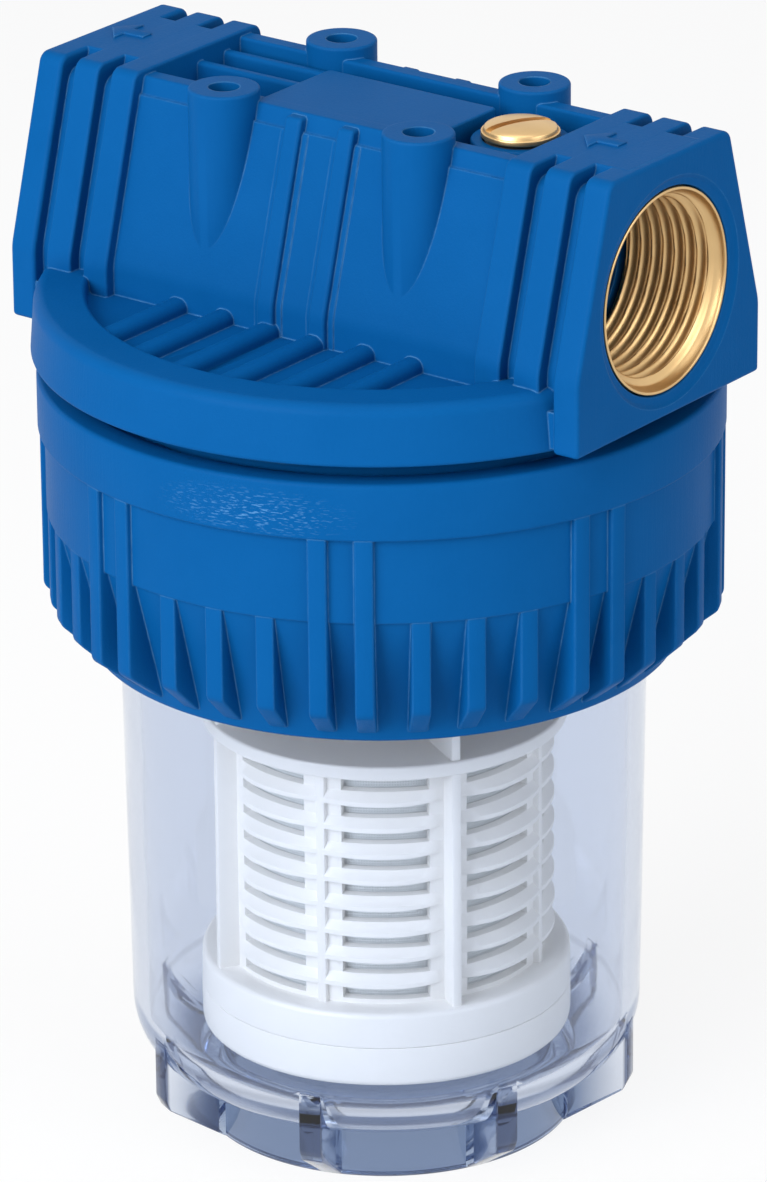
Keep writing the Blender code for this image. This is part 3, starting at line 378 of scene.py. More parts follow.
# The cartridge is two white mouldings with a grey sieve cloth between two flat rubber gaskets. Its cage
# has eight windows of louvred slits, with an upright post between each two windows. Every second post
# stands out and goes on over the shelf as a web; the louvres run on into the others.
CARTRIDGE_TURN = math.radians(-7.8)
WINDOW_COUNT = 8
CAP_Z = 17.45
CAP_RADIUS = 32.6
BASE_Z = 25.05
CAGE_Z = 31.45
CAGE_RADIUS = 28.0
CAGE_BORE = 26.2
SHELF_Z = 75.2
SHELF_RADIUS = 31.9
SHELF_THICKNESS = 2.6
PLATE_Z = 135.85
CARTRIDGE_TOP_Z = 138.85
POST_RADIUS = 31.6
FLUSH_POST_RADIUS = 29.1
POST_THICKNESS = 1.7
NECK_RADIUS = 18.0
NECK_WALL = 2.2
PANEL_STEPS = 20
PANEL_ROOT = 0.5
POST_ROOT = 0.4
FIRST_SLIT_Z = 32.3
SLIT_ROWS = 9
SLIT_PITCH = 4.91
SLIT_HEIGHT = 2.7
SLIT_ANGLE = math.radians(31.0)
LOUVRE_ANGLE = math.radians(40.0)
LOUVRE_PROUD = 1.7
LIP_HEIGHT = 0.8
LIP_FALL = 0.3


def white_moulding():
    """White plastic with the soft unevenness of a cheap moulding."""
    made, tree, surface = new_finish("white_moulding", Roughness=0.42, Coat_Weight=0.15, Coat_Roughness=0.25)
    place = add(tree, "ShaderNodeTexCoord").outputs["Object"]
    tone = noise(tree, place, scale=45.0, detail=3.0)
    shade = two_tones(tree, tone, (0.80, 0.785, 0.76), (0.88, 0.855, 0.82))
    skin = noise(tree, place, scale=900.0, detail=2.0)
    connect(tree, surface, Base_Color=shade, Normal=bumped(tree, skin, strength=0.15, distance=0.0003))
    return made


white_finish = white_moulding()


def post_angles():
    """Posts stand halfway between windows, and windows start at the cage's own zero."""
    return [math.tau * (i + 0.5) / WINDOW_COUNT for i in range(WINDOW_COUNT)]


def make_cage_panel(index):
    """One window of the cage: a curved wall with slits, and a louvre over each slit."""
    bm = bmesh.new()
    middle = math.tau * index / WINDOW_COUNT
    edge = math.pi / WINDOW_COUNT
    flush_side = 1 if index % 2 == 0 else -1
    bottom, top = CAGE_Z - PANEL_ROOT, SHELF_Z + PANEL_ROOT
    slats = [(bottom, FIRST_SLIT_Z)]
    for row in range(SLIT_ROWS):
        low = FIRST_SLIT_Z + row * SLIT_PITCH + SLIT_HEIGHT
        high = low + SLIT_PITCH - SLIT_HEIGHT if row < SLIT_ROWS - 1 else top
        slats.append((low, high))

    def strip(low, high, start, end, proud):
        """A curved bar whose lower edge stands out in its middle by proud, and on into a flush post."""
        rings = []
        for i in range(PANEL_STEPS + 1):
            angle = start + (end - start) * i / PANEL_STEPS
            falling = (angle / (LOUVRE_ANGLE / 2)) ** 2
            lip = proud * (1 - LIP_FALL * falling if angle * flush_side > 0 else max(0.0, 1 - falling))
            lip_z = min(low + LIP_HEIGHT, high - 0.1)
            radii = [(CAGE_BORE, low), (CAGE_RADIUS + lip, low), (CAGE_RADIUS + lip, lip_z),
                     (CAGE_RADIUS, high), (CAGE_BORE, high)]
            rings.append([bm.verts.new((r * math.cos(angle + middle), r * math.sin(angle + middle), z))
                          for r, z in radii])
        for ring, following in zip(rings, rings[1:]):
            for i in range(len(ring)):
                j = (i + 1) % len(ring)
                bm.faces.new((ring[i], following[i], following[j], ring[j]))
        bm.faces.new(rings[0])
        bm.faces.new(rings[-1][::-1])

    ends = sorted((flush_side * edge, -flush_side * LOUVRE_ANGLE / 2))
    for row, (low, high) in enumerate(slats):
        strip(low, high, *ends, LOUVRE_PROUD if row else 0.0)
    for side in (-1, 1):
        strip(bottom, top, side * SLIT_ANGLE / 2, side * edge, 0.0)
    return settled(f"cage_panel_{index}", bm, white_finish, 30)


def make_cartridge():
    """Cage, base ring, shelf, neck, webs and top plate as one moulding made of joined forms."""
    forms = [make_cage_panel(i) for i in range(WINDOW_COUNT)]
    base = rounded([(CAGE_BORE, BASE_Z, 0), (CAP_RADIUS, BASE_Z, 0.12), (CAP_RADIUS, CAGE_Z, 1.0),
                    (CAGE_BORE, CAGE_Z, 0)])
    forms.append(turned("base_ring", base, 128, white_finish))
    shelf_top = SHELF_Z + SHELF_THICKNESS
    bore = NECK_RADIUS - NECK_WALL
    forms.append(turned("shelf_and_neck", rounded([
        (bore, SHELF_Z, 0), (SHELF_RADIUS, SHELF_Z, 0.4), (SHELF_RADIUS, shelf_top, 0.5),
        (NECK_RADIUS, shelf_top, 0.8), (NECK_RADIUS, PLATE_Z, 0.8), (POST_RADIUS, PLATE_Z, 0.4),
        (POST_RADIUS, CARTRIDGE_TOP_Z, 0.5), (bore, CARTRIDGE_TOP_Z, 0.5)]), 128, white_finish))
    post_back = CAGE_BORE + POST_ROOT
    low, high = CAGE_Z - POST_ROOT, SHELF_Z + POST_ROOT
    posts = [[(post_back, low), (front, low), (front, high), (post_back, high)]
             for front in (FLUSH_POST_RADIUS, POST_RADIUS)]
    web_back, web_front = NECK_RADIUS - 1, POST_RADIUS - 0.2
    low, high = shelf_top - POST_ROOT, PLATE_Z + POST_ROOT
    web = [(web_back, low), (web_front, low), (web_front, high), (web_back, high)]
    for i, angle in enumerate(post_angles()):
        for label, outline in (("post", posts[i % 2]), ("web", web))[:1 + i % 2]:
            fin = slab(f"{label}_{i}", outline, -POST_THICKNESS / 2, POST_THICKNESS / 2, "Y", white_finish)
            forms.append(turned_by(eased(fin, 0.35, 2, 60), angle))
    body = forms[0]
    with bpy.context.temp_override(active_object=body, selected_editable_objects=forms):
        bpy.ops.object.join()
    body.name = "cartridge_cage"
    return turned_by(body, CARTRIDGE_TURN)


cartridge = make_cartridge()
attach(cartridge, "bowl")
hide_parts("cartridge_body")

# The cap under the cartridge is a shallow cup with a hole in its floor, moulded in the same white plastic
# as the cage. It clips to the base ring and leaves a fine seam.
CAP_BORE = 14.0
CAP_FLOOR_Z = CAP_Z + 2.5
CAP_SEAM = 0.08
cap = turned("cartridge_foot_cap", rounded([
    (CAP_BORE, CAP_Z, 0.4), (CAP_RADIUS, CAP_Z, 1.4), (CAP_RADIUS, BASE_Z - CAP_SEAM, 0.12),
    (CAGE_BORE, BASE_Z - CAP_SEAM, 0), (CAGE_BORE, CAP_FLOOR_Z, 0.6), (CAP_BORE, CAP_FLOOR_Z, 0.4)]), 128,
    white_finish)
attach(cap, "bowl")
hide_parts("cartridge_cap")

# The sieve is a fine cloth, woven from grey plastic thread and rolled into a sleeve. It lies against the
# inside of the cage, between the cap's floor and the shelf.
CLOTH_RADIUS = 25.9
CLOTH_THICKNESS = 0.5
CLOTH_PITCH = 0.45
CLOTH_GAP = 0.3


def sieve_cloth():
    """Grey monofilament cloth: threads up and round, drawn from the angle and the height."""
    made, tree, surface = new_finish("sieve_cloth", Roughness=0.6)
    place = add(tree, "ShaderNodeTexCoord").outputs["Object"]
    parts = add(tree, "ShaderNodeSeparateXYZ", {"Vector": place}).outputs
    half_turns = math.tau / CLOTH_PITCH / MM / 2

    def threads(coordinate, rate):
        """Rounded threads, one after the other along a coordinate."""
        wave = figure(tree, "SINE", figure(tree, "MULTIPLY", coordinate, rate))
        return figure(tree, "ABSOLUTE", wave)

    upright = threads(figure(tree, "ARCTAN2", parts["Y"], parts["X"]), half_turns * CLOTH_RADIUS * MM)
    round_about = threads(parts["Z"], half_turns)
    weave = figure(tree, "MAXIMUM", upright, round_about)
    shade = two_tones(tree, weave, (0.42, 0.45, 0.46), (0.80, 0.83, 0.84), start=0.55)
    connect(tree, surface, Base_Color=shade, Normal=bumped(tree, weave, strength=0.5, distance=0.0002))
    return made


cloth_low, cloth_high = CAP_FLOOR_Z + CLOTH_GAP, SHELF_Z - CLOTH_GAP
cloth_inside = CLOTH_RADIUS - CLOTH_THICKNESS
cloth = turned("sieve_sleeve", [
    (cloth_inside, cloth_low), (CLOTH_RADIUS, cloth_low), (CLOTH_RADIUS, cloth_high),
    (cloth_inside, cloth_high)],
    128, sieve_cloth())
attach(cloth, "bowl")
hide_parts("mesh_sleeve")

# Two flat gaskets, punched from black rubber, close the cartridge at its ends. One lies on the bowl's
# floor, and the head's nozzle presses on the other.
GASKET_RADIUS = 22.0
GASKET_BORE = 14.0
GASKET_THICKNESS = 3.35
GASKET_GAP = 0.3
for label, seat_z in (("bottom", FLOOR_Z), ("top", CARTRIDGE_TOP_Z)):
    low = seat_z + GASKET_GAP
    high = low + GASKET_THICKNESS
    gasket = turned(f"{label}_flat_gasket", rounded([
        (GASKET_BORE, low, 0.4), (GASKET_RADIUS, low, 0.4), (GASKET_RADIUS, high, 0.4),
        (GASKET_BORE, high, 0.4)], 3), 96, rubber_finish)
    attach(gasket, "bowl")
    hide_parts(f"{label}_gasket")

# The lock ring is a blue moulding with a smooth band, a belt and a tapered foot. Eight pairs of long
# grip ribs run up to the band, with three short ones between the pairs. Its coarse inside thread pulls
# the bowl up against the head.
RING_TURN = math.radians(30.2)
RING_BOTTOM_Z = 90.3
RING_TOP_Z = 139.5
BAND_Z = 129.4
BELT_Z = 114.3
BAND_RADIUS = 59.2
BELT_RADIUS = 58.0
CONE_TOP_RADIUS = 57.3
CONE_FOOT_RADIUS = 51.2
RING_BORE = 54.3
RING_BORE_Z = 112.25
SHOULDER_BORE = 46.75
SHOULDER_Z = 104.0
FLANGE_ROOM_RADIUS = 51.55
FLANGE_ROOM_Z = 109.5
GRIP_PAIRS = 8
GRIP_WIDTH = 3.3
GRIP_PAIR_ANGLE = math.radians(7.6)
GRIP_SHORT_ANGLE = math.radians(9.35)
GRIP_SLOPE_HEIGHT = 7.5
GRIP_END_HEIGHT = 2.0
GRIP_END_PROUD = 0.4
GRIP_SET_BACK = 0.15
GRIP_OVERRUN = 0.4
GRIP_ROOT = 1.0
THREAD_LEAD = 5.0
THREAD_DEPTH = 1.5
THREAD_STEP = 0.25
THREAD_CREST = 0.30
THREAD_FLANK = 0.12
THREAD_RUNS = 12
THREAD_RUN_SHARE = 0.42
RING_THREAD_LOW_Z = 112.6
RING_THREAD_HIGH_Z = 138.8
SCUFF_PLACE = (0.016, -0.057, 0.1335)
SCUFF_STRETCH = 4.0
# A lighter blue, used for the painted highlight on edges and for the real scuffs on the band.
HIGHLIGHT_AND_SCUFF_BLUE = (0.13, 0.34, 0.62, 1)


def blue_moulding():
    """Royal blue plastic: drawn streaks and spark-eroded grain, cloudy flow marks, a painted highlight that
    makes edges lighter, and a scuffed patch on the ring's band."""
    made, tree, surface = new_finish("blue_moulding", Specular_IOR_Level=0.02)
    place = add(tree, "ShaderNodeTexCoord").outputs["Object"]
    soft_edge = add(tree, "ShaderNodeBevel", {"Radius": 0.0005}, samples=6).outputs["Normal"]
    true_face = add(tree, "ShaderNodeNewGeometry").outputs["Normal"]
    facing = add(tree, "ShaderNodeVectorMath", {0: soft_edge, 1: true_face}, operation="DOT_PRODUCT")
    # Painted highlight: edges found by the Bevel node are painted a lighter blue, in patches.
    edge_highlight = fade(tree, facing.outputs["Value"], (0.98, 0.80))
    patchy = fade(tree, noise(tree, place, scale=400.0, detail=2.0), (0.35, 0.65), to=(0.25, 0.55))
    x, y, z = SCUFF_PLACE
    low_and_wide = add(tree, "ShaderNodeMapping", {"Vector": place, "Scale": (1.0, 1.0, SCUFF_STRETCH)})
    from_scuff = add(tree, "ShaderNodeVectorMath", {0: low_and_wide.outputs["Vector"],
                                                    1: (x, y, z * SCUFF_STRETCH)}, operation="DISTANCE")
    scuffed = fade(tree, from_scuff.outputs["Value"], (0.019, 0.004), to=(0.0, 0.45))
    slanted = add(tree, "ShaderNodeMapping", {"Vector": place, "Rotation": (0.5, 0.3, 0.0),
                                              "Scale": (800.0, 800.0, 4200.0)}).outputs["Vector"]
    scratched = fade(tree, noise(tree, slanted, scale=1.0, detail=2.0), (0.56, 0.66))
    # The painted edge highlight and the scratches of the scuffed patch are joined into one mask.
    highlight_and_scuffs = figure(tree, "MAXIMUM", figure(tree, "MULTIPLY", edge_highlight, patchy),
                    figure(tree, "MULTIPLY", scuffed, scratched))
    flow = noise(tree, place, scale=55.0, detail=5.0, roughness=0.6)
    blue = two_tones(tree, flow, (0.001, 0.072, 0.243), (0.003, 0.088, 0.286))
    colour = blend(tree, highlight_and_scuffs, blue, HIGHLIGHT_AND_SCUFF_BLUE)
    grain = noise(tree, place, scale=2600.0, detail=2.0)
    along = add(tree, "ShaderNodeMapping", {"Vector": place, "Scale": (1900.0, 1900.0, 110.0)})
    streaks = noise(tree, along.outputs["Vector"], scale=1.0, detail=2.0)
    relief = figure(tree, "ADD", streaks, grain)
    skin = bumped(tree, relief, strength=0.16, distance=0.0002, Normal=soft_edge)
    gloss = fade(tree, grain, (0.0, 1.0), to=(0.36, 0.50))
    connect(tree, surface, Base_Color=colour, Roughness=gloss, Normal=skin)
    return made


blue_finish = blue_moulding()


def ridge(z, angle, low, high):
    """Height of a right-hand thread ridge from 0 to 1, in short runs, fading out near both ends."""
    phase = (z / THREAD_LEAD - angle / math.tau) % 1.0
    crest = min(1.0, max(0.0, (THREAD_CREST - abs(phase - 0.5)) / THREAD_FLANK))
    run = (angle / math.tau * THREAD_RUNS) % 1.0
    length = min(1.0, max(0.0, (THREAD_RUN_SHARE - abs(run - 0.5)) / THREAD_FLANK))
    fade = min(1.0, max(0.0, (z - low) / 1.0), max(0.0, (high - z) / 0.4))
    return crest * length * fade


def threaded_run(radius, low, high):
    """Close-set outline points up a threaded wall."""
    count = round((high - low) / THREAD_STEP)
    return [(radius, low + (high - low) * i / count) for i in range(count + 1)]


def make_ring_thread():
    """The ring's own half of the thread, on a sleeve rooted in its wall."""
    low, high = RING_THREAD_LOW_Z, RING_THREAD_HIGH_Z
    outline = [(RING_BORE + 1.2, high), (RING_BORE + 1.2, low)] + threaded_run(RING_BORE, low, high)

    def swell(radius, z, angle):
        """The ring's ridges stand inwards, half a lead above the head's, and are a little lower."""
        if radius != RING_BORE:
            return 0.0
        return -0.95 * THREAD_DEPTH * ridge(z + THREAD_LEAD / 2, angle, low, high + THREAD_LEAD)

    return turned("lock_ring_thread", outline, 192, blue_finish, swell)


def make_lock_ring():
    """The turned ring and its grip ribs, which end just under the face of the band or belt above them."""
    ring = turned("blue_lock_ring", rounded([
        (RING_BORE, RING_TOP_Z, 0.6), (BAND_RADIUS, RING_TOP_Z, 0.8), (BAND_RADIUS, BAND_Z, 0.5),
        (BELT_RADIUS, BAND_Z, 0.4), (BELT_RADIUS, BELT_Z, 0.4), (CONE_TOP_RADIUS, BELT_Z, 0.3),
        (CONE_FOOT_RADIUS, RING_BOTTOM_Z, 1.0), (SHOULDER_BORE, RING_BOTTOM_Z, 0.8),
        (SHOULDER_BORE, SHOULDER_Z, 0.5), (FLANGE_ROOM_RADIUS, SHOULDER_Z, 0.4),
        (FLANGE_ROOM_RADIUS, FLANGE_ROOM_Z, 0), (RING_BORE, RING_BORE_Z, 0)], 6), 192, blue_finish)
    ribs = []
    slope_z = RING_BOTTOM_Z + GRIP_SLOPE_HEIGHT
    end_z = RING_BOTTOM_Z + GRIP_END_HEIGHT
    share = GRIP_END_HEIGHT / (BELT_Z - RING_BOTTOM_Z)
    end_radius = CONE_FOOT_RADIUS + share * (CONE_TOP_RADIUS - CONE_FOOT_RADIUS)
    root_radius = CONE_TOP_RADIUS - GRIP_ROOT
    for pair in range(GRIP_PAIRS):
        middle = math.tau * pair / GRIP_PAIRS
        between = middle + math.pi / GRIP_PAIRS
        places = [(middle + side * GRIP_PAIR_ANGLE / 2, BAND_RADIUS, BAND_Z) for side in (-1, 1)]
        places += [(between + step * GRIP_SHORT_ANGLE, BELT_RADIUS, BELT_Z) for step in (-1, 0, 1)]
        for angle, face_radius, edge_z in places:
            radius = face_radius - GRIP_SET_BACK
            top_z = edge_z + GRIP_OVERRUN
            outline = rounded([
                (end_radius - GRIP_ROOT, end_z, 0), (end_radius + GRIP_END_PROUD, end_z, 0.7),
                (radius, slope_z, 2.0), (radius, top_z, 0), (root_radius, top_z, 0), (root_radius, BELT_Z, 0)])
            rib = slab(f"grip_rib_{len(ribs)}", outline, -GRIP_WIDTH / 2, GRIP_WIDTH / 2, "Y", blue_finish)
            ribs.append(turned_by(eased(rib, 0.45, 3, 60), angle))
    worked(ring, ribs, "UNION", 25)
    return ring


for piece in (make_lock_ring(), make_ring_thread()):
    turned_by(piece, RING_TURN)
    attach(piece, "lock_ring")
    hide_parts("lock_ring")

# The head is one blue moulding. Its turned part is a disc with a trough round the bridge, and a skirt
# under it with the outside half of the coarse thread.
DISC_RADIUS = 60.1
DISC_Z = 142.8
DISC_TOP_Z = 153.3
TROUGH_Z = 150.4
CEILING_Z = 146.0
SKIRT_Z = 109.8
SKIRT_RADIUS = 52.4
SKIRT_BORE = 50.05
RIM_WIDTH = 9.6
NOZZLE_RADIUS = 17.0
NOZZLE_BORE = 10.0
PORT_Z = 164.6
PORT_BORE = 15.0
WAY_MOUTH_X = 40.0
OUTLET_END_X = 13.0
INLET_END_X = 17.0
INLET_DROP_X = 33.0
INLET_DROP_RADIUS = 8.0
DISC_TAPER = 0.8


def bar(name, radius, low, high, centre, axis="Z", sides=48):
    """A round bar used as a tool or an added form; centre holds the other two coordinates."""
    outline = [(centre[0] + radius * math.cos(a), centre[1] + radius * math.sin(a))
               for a in (math.tau * i / sides for i in range(sides))]
    return slab(name, outline, low, high, axis, blue_finish)


def water_ways():
    """Both port bores, the drop to the bowl and the rise from the cartridge."""
    port = (0.0, PORT_Z)
    return [bar("outlet_way", PORT_BORE, -WAY_MOUTH_X, OUTLET_END_X, port, "X", 64),
            bar("inlet_way", PORT_BORE, INLET_END_X, WAY_MOUTH_X, port, "X", 64),
            bar("inlet_drop", INLET_DROP_RADIUS, CEILING_Z - 2, PORT_Z, (INLET_DROP_X, 0.0)),
            bar("outlet_rise", NOZZLE_BORE, DISC_Z - 2, PORT_Z, (0.0, 0.0))]


def make_disc():
    """Disc with its trough, ceiling and nozzle."""
    rim = DISC_RADIUS - RIM_WIDTH
    return turned("blue_head", rounded([
        (NOZZLE_BORE - 1, CEILING_Z + 1, 0), (NOZZLE_BORE - 1, DISC_Z, 0), (NOZZLE_RADIUS, DISC_Z, 0.5),
        (NOZZLE_RADIUS, CEILING_Z, 0.5), (SKIRT_BORE, CEILING_Z, 0), (SKIRT_BORE, DISC_Z, 0),
        (DISC_RADIUS, DISC_Z, 0.7), (DISC_RADIUS - DISC_TAPER, DISC_TOP_Z, 2.2), (rim, DISC_TOP_Z, 0.8),
        (rim - 0.3, TROUGH_Z, 0.8), (NOZZLE_BORE - 1, TROUGH_Z, 0)], 9), 192, blue_finish)


def make_skirt():
    """The skirt under the disc, with the head's half of the thread outside."""
    low, high = SKIRT_Z + 1.7, DISC_Z - 0.4

    def swell(radius, z, angle):
        """Only the points on the threaded wall move."""
        return THREAD_DEPTH * ridge(z, angle, low, high) if radius == SKIRT_RADIUS else 0.0

    outline = rounded([(SKIRT_BORE, DISC_Z + 1, 0), (SKIRT_BORE, SKIRT_Z, 0.4),
                       (SKIRT_RADIUS - 1.5, SKIRT_Z, 0.3), (SKIRT_RADIUS - 0.01, SKIRT_Z + 1.5, 0)])
    outline += threaded_run(SKIRT_RADIUS, low, high) + [(SKIRT_RADIUS, DISC_Z + 1)]
    return turned("head_skirt", outline, 192, blue_finish, swell)


skirt = make_skirt()
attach(skirt, "head")
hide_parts("head")

# Above the disc stands the bridge: a hollow beam with a ported block at each end. Each block has three
# fins a side. Between the blocks the beam has ribs, screw bosses and a recess in its top, and ribs of
# half-round section cross the trough at its foot.
HEAD_HALF_LENGTH = 60.2
HEAD_TOP_Z = 188.3
TOP_HALF_WIDTH = 17.2
KINK_HALF_WIDTH = 26.4
KINK_Z = 155.8
BLOCK_LENGTH = 21.2
FIN_COUNT = 3
FIN_WIDTH = 5.2
FIN_GAP = 2.8
FIN_DEPTH = 2.6
FIN_EASE = 0.5
END_EASE = 1.0
KINK_ROUND = 9.0
SLOT_REACH = 7.2
BRIDGE_TOP_Z = 187.3
LIP_BAND = 3.0
LIP_STEP = 0.5
BOSS_X = 20.5
BOSS_Y = 16.4
BOSS_RADIUS = 6.15
BOSS_TOP_Z = 189.3
BOSS_HOLE_RADIUS = 2.7
BOSS_HOLE_DEPTH = 14.0
WALL_RIB_X = 5.5
WALL_RIB_WIDTH = 3.4
WALL_RIB_PROUD = 1.3
WALL_PAD_MARGIN = 1.2
WALL_PAD_PROUD = 0.2
TROUGH_RIB_PITCH = 10.0
TROUGH_RIB_WIDTH = 4.0
TROUGH_RIB_CROWN_Z = 152.8
TROUGH_RIBS_A_QUARTER = 3
WELL_Z = 182.3
WELL_HALF_WIDTH = 11.6
RAIL_TOP_Z = 185.9
RAIL_PLACES = (0.6, 8.0)
RAIL_HALF_WIDTH = 1.0
PANEL_Z = 187.28
PANEL_BACK = 6.4
PANEL_FRONT = -12.4
PANEL_LEFT = -15.5
PANEL_RIGHT = 20.0
VENT_X = 29.5
VENT_PAD_Z = 185.6
VENT_PAD_RADIUS = 8.4
VENT_HOLE_RADIUS = 4.4
VENT_BED_RADIUS = 6.5
VENT_BED_DEPTH = 2.2
MOUTH_BACK_X = 39.1
MOUTH_RADIUS = 18.0
MOUTH_STEP_X = 59.4
MOUTH_STEP_RADIUS = 19.3
HEAD_SHARP = 16


def side_y(z, depth):
    """Half width of the head at a height, at a depth under the fins' faces."""
    slope = (KINK_HALF_WIDTH - TOP_HALF_WIDTH) / (HEAD_TOP_Z - KINK_Z)
    return TOP_HALF_WIDTH - depth + (HEAD_TOP_Z - max(z, KINK_Z)) * slope


def both_sides(half):
    """Close an outline from its right half, given from the foot up."""
    return half + [(-y, z, r) for y, z, r in reversed(half)]


def mirror_images(pieces, axes):
    """Pieces with their copies on the other side of x = 0, of y = 0 or of both."""
    pieces = list(pieces)
    for axis, flip in (("X", (1, 0, 0)), ("Y", (0, 1, 0))):
        if axis not in axes:
            continue
        for one in list(pieces):
            twin = bpy.data.objects.new(f"{one.name}_{axis}", one.data.copy())
            bpy.context.scene.collection.objects.link(twin)
            twin.data.transform(Matrix.Scale(-1, 4, flip))
            twin.data.flip_normals()
            pieces.append(twin)
    return pieces


def make_block():
    """The block round the right port: fins of the full outline on a core that is set back between them."""
    full = rounded(both_sides([(KINK_HALF_WIDTH, DISC_Z, 0.8), (KINK_HALF_WIDTH, KINK_Z, KINK_ROUND),
                               (TOP_HALF_WIDTH, HEAD_TOP_Z, 2.2)]), 8)
    forms = []
    for i in range(FIN_COUNT):
        high = HEAD_HALF_LENGTH - i * (FIN_WIDTH + FIN_GAP)
        fin = slab(f"fin_{i}", full, high - FIN_WIDTH, high, "X", blue_finish)
        forms.append(eased(fin, FIN_EASE if i else END_EASE, 5, 60))
    floor_z = HEAD_TOP_Z - FIN_DEPTH
    inner = TOP_HALF_WIDTH - SLOT_REACH
    low, high = HEAD_HALF_LENGTH - BLOCK_LENGTH, HEAD_HALF_LENGTH - 1.5
    core = rounded(both_sides([
        (side_y(KINK_Z, FIN_DEPTH), TROUGH_Z - 1, 0), (side_y(KINK_Z, FIN_DEPTH), KINK_Z, KINK_ROUND),
        (side_y(floor_z, FIN_DEPTH), floor_z, 4.0), (inner + 0.8, floor_z, 2.2),
        (inner, HEAD_TOP_Z - 0.03, 0.3)]), 8)
    forms.append(slab("block_core", core, low + 1.2, high, "X", blue_finish))
    foot_y, foot_low, foot_high = KINK_HALF_WIDTH - 0.6, DISC_Z + 0.7, TROUGH_Z - 0.5
    foot = [(-foot_y, foot_low), (foot_y, foot_low), (foot_y, foot_high), (-foot_y, foot_high)]
    forms.append(slab("block_foot", foot, low + 0.6, high, "X", blue_finish))
    return forms


def make_beam():
    """The beam between the blocks, with the step under its top edge and the open channel of the well."""
    lip_z = BRIDGE_TOP_Z - LIP_BAND
    depth = FIN_DEPTH - LIP_STEP
    outline = rounded(both_sides([
        (side_y(KINK_Z, depth), TROUGH_Z - 1, 0), (side_y(KINK_Z, depth), KINK_Z, KINK_ROUND),
        (side_y(lip_z, depth), lip_z, 0.15), (side_y(lip_z, FIN_DEPTH), lip_z, 0.2),
        (side_y(BRIDGE_TOP_Z, FIN_DEPTH), BRIDGE_TOP_Z, 0.6), (WELL_HALF_WIDTH, BRIDGE_TOP_Z, 0.5),
        (WELL_HALF_WIDTH, WELL_Z, 0.6)]), 6)
    reach = HEAD_HALF_LENGTH - BLOCK_LENGTH + 3.0
    return slab("bridge_beam", outline, -reach, reach, "X", blue_finish)


def make_wall_ribs():
    """Two upright ribs a side, each on a hardly raised pad that is a little wider."""
    forms = []
    half = WALL_RIB_WIDTH / 2
    for label, half, proud, top_z, ease in (
            ("pad", half + WALL_PAD_MARGIN, WALL_PAD_PROUD, BRIDGE_TOP_Z - LIP_BAND, 0.15),
            ("rib", half, WALL_RIB_PROUD, BRIDGE_TOP_Z - 0.5, 0.6)):
        face = FIN_DEPTH - LIP_STEP - proud
        root = FIN_DEPTH + 1
        outline = rounded([
            (side_y(KINK_Z, root), TROUGH_Z - 1, 0), (side_y(KINK_Z, face), TROUGH_Z - 1, 0),
            (side_y(KINK_Z, face), KINK_Z, KINK_ROUND), (side_y(top_z, face), top_z, 0.9),
            (side_y(top_z, root), top_z, 0)])
        form = slab(f"wall_{label}", outline, WALL_RIB_X - half, WALL_RIB_X + half, "X", blue_finish)
        forms.append(eased(form, ease, 5, 60))
    return mirror_images(forms, "XY")


def make_trough_ribs():
    """Ribs with a round crown, from the beam's foot out to the disc's rim."""
    half = TROUGH_RIB_WIDTH / 2
    forms = []
    for i in range(TROUGH_RIBS_A_QUARTER):
        x = TROUGH_RIB_PITCH * (i + 0.5)
        outer = math.sqrt((DISC_RADIUS - RIM_WIDTH) ** 2 - x ** 2) + 0.8
        outline = rounded([(x - half, TROUGH_Z - 1, 0), (x + half, TROUGH_Z - 1, 0),
                           (x + half, TROUGH_RIB_CROWN_Z, half), (x - half, TROUGH_RIB_CROWN_Z, half)], 8)
        foot_y = side_y(KINK_Z, FIN_DEPTH + 1)
        forms.append(slab(f"trough_rib_{i}", outline, -outer, -foot_y, "Y", blue_finish))
    return mirror_images(forms, "XY")


def make_well_details():
    """Rails, panel and vent pad on the floor of the well."""
    forms = []
    root_z = WELL_Z - 1
    block_x = HEAD_HALF_LENGTH - BLOCK_LENGTH
    for i, y in enumerate(RAIL_PLACES):
        front, back = y - RAIL_HALF_WIDTH, y + RAIL_HALF_WIDTH
        outline = rounded([(front, root_z, 0), (back, root_z, 0), (back, RAIL_TOP_Z, 0.7),
                           (front, RAIL_TOP_Z, 0.7)], 6)
        forms.append(slab(f"rail_{i}", outline, -block_x - 1, PANEL_LEFT + 1, "X", blue_finish))
    outline = rounded([(PANEL_LEFT, PANEL_FRONT, 0), (PANEL_RIGHT, PANEL_FRONT, 0),
                       (PANEL_RIGHT, PANEL_BACK, 0.8), (PANEL_LEFT, PANEL_BACK, 0.8)], 4)
    panel = slab("panel", outline, root_z, PANEL_Z, "Z", blue_finish)
    pad = bar("vent_pad", VENT_PAD_RADIUS, root_z, VENT_PAD_Z, (VENT_X, 0.0), "Z", 64)
    return forms + [eased(panel, 0.4, 4, 60), eased(pad, 0.4, 4, 60)]


def flat_shaded(piece):
    """Let large flat faces set the normals next to rounded edges."""
    modifier = piece.modifiers.new("Flat faces", "WEIGHTED_NORMAL")
    modifier.keep_sharp = True
    modifier.weight = 80
    return piece


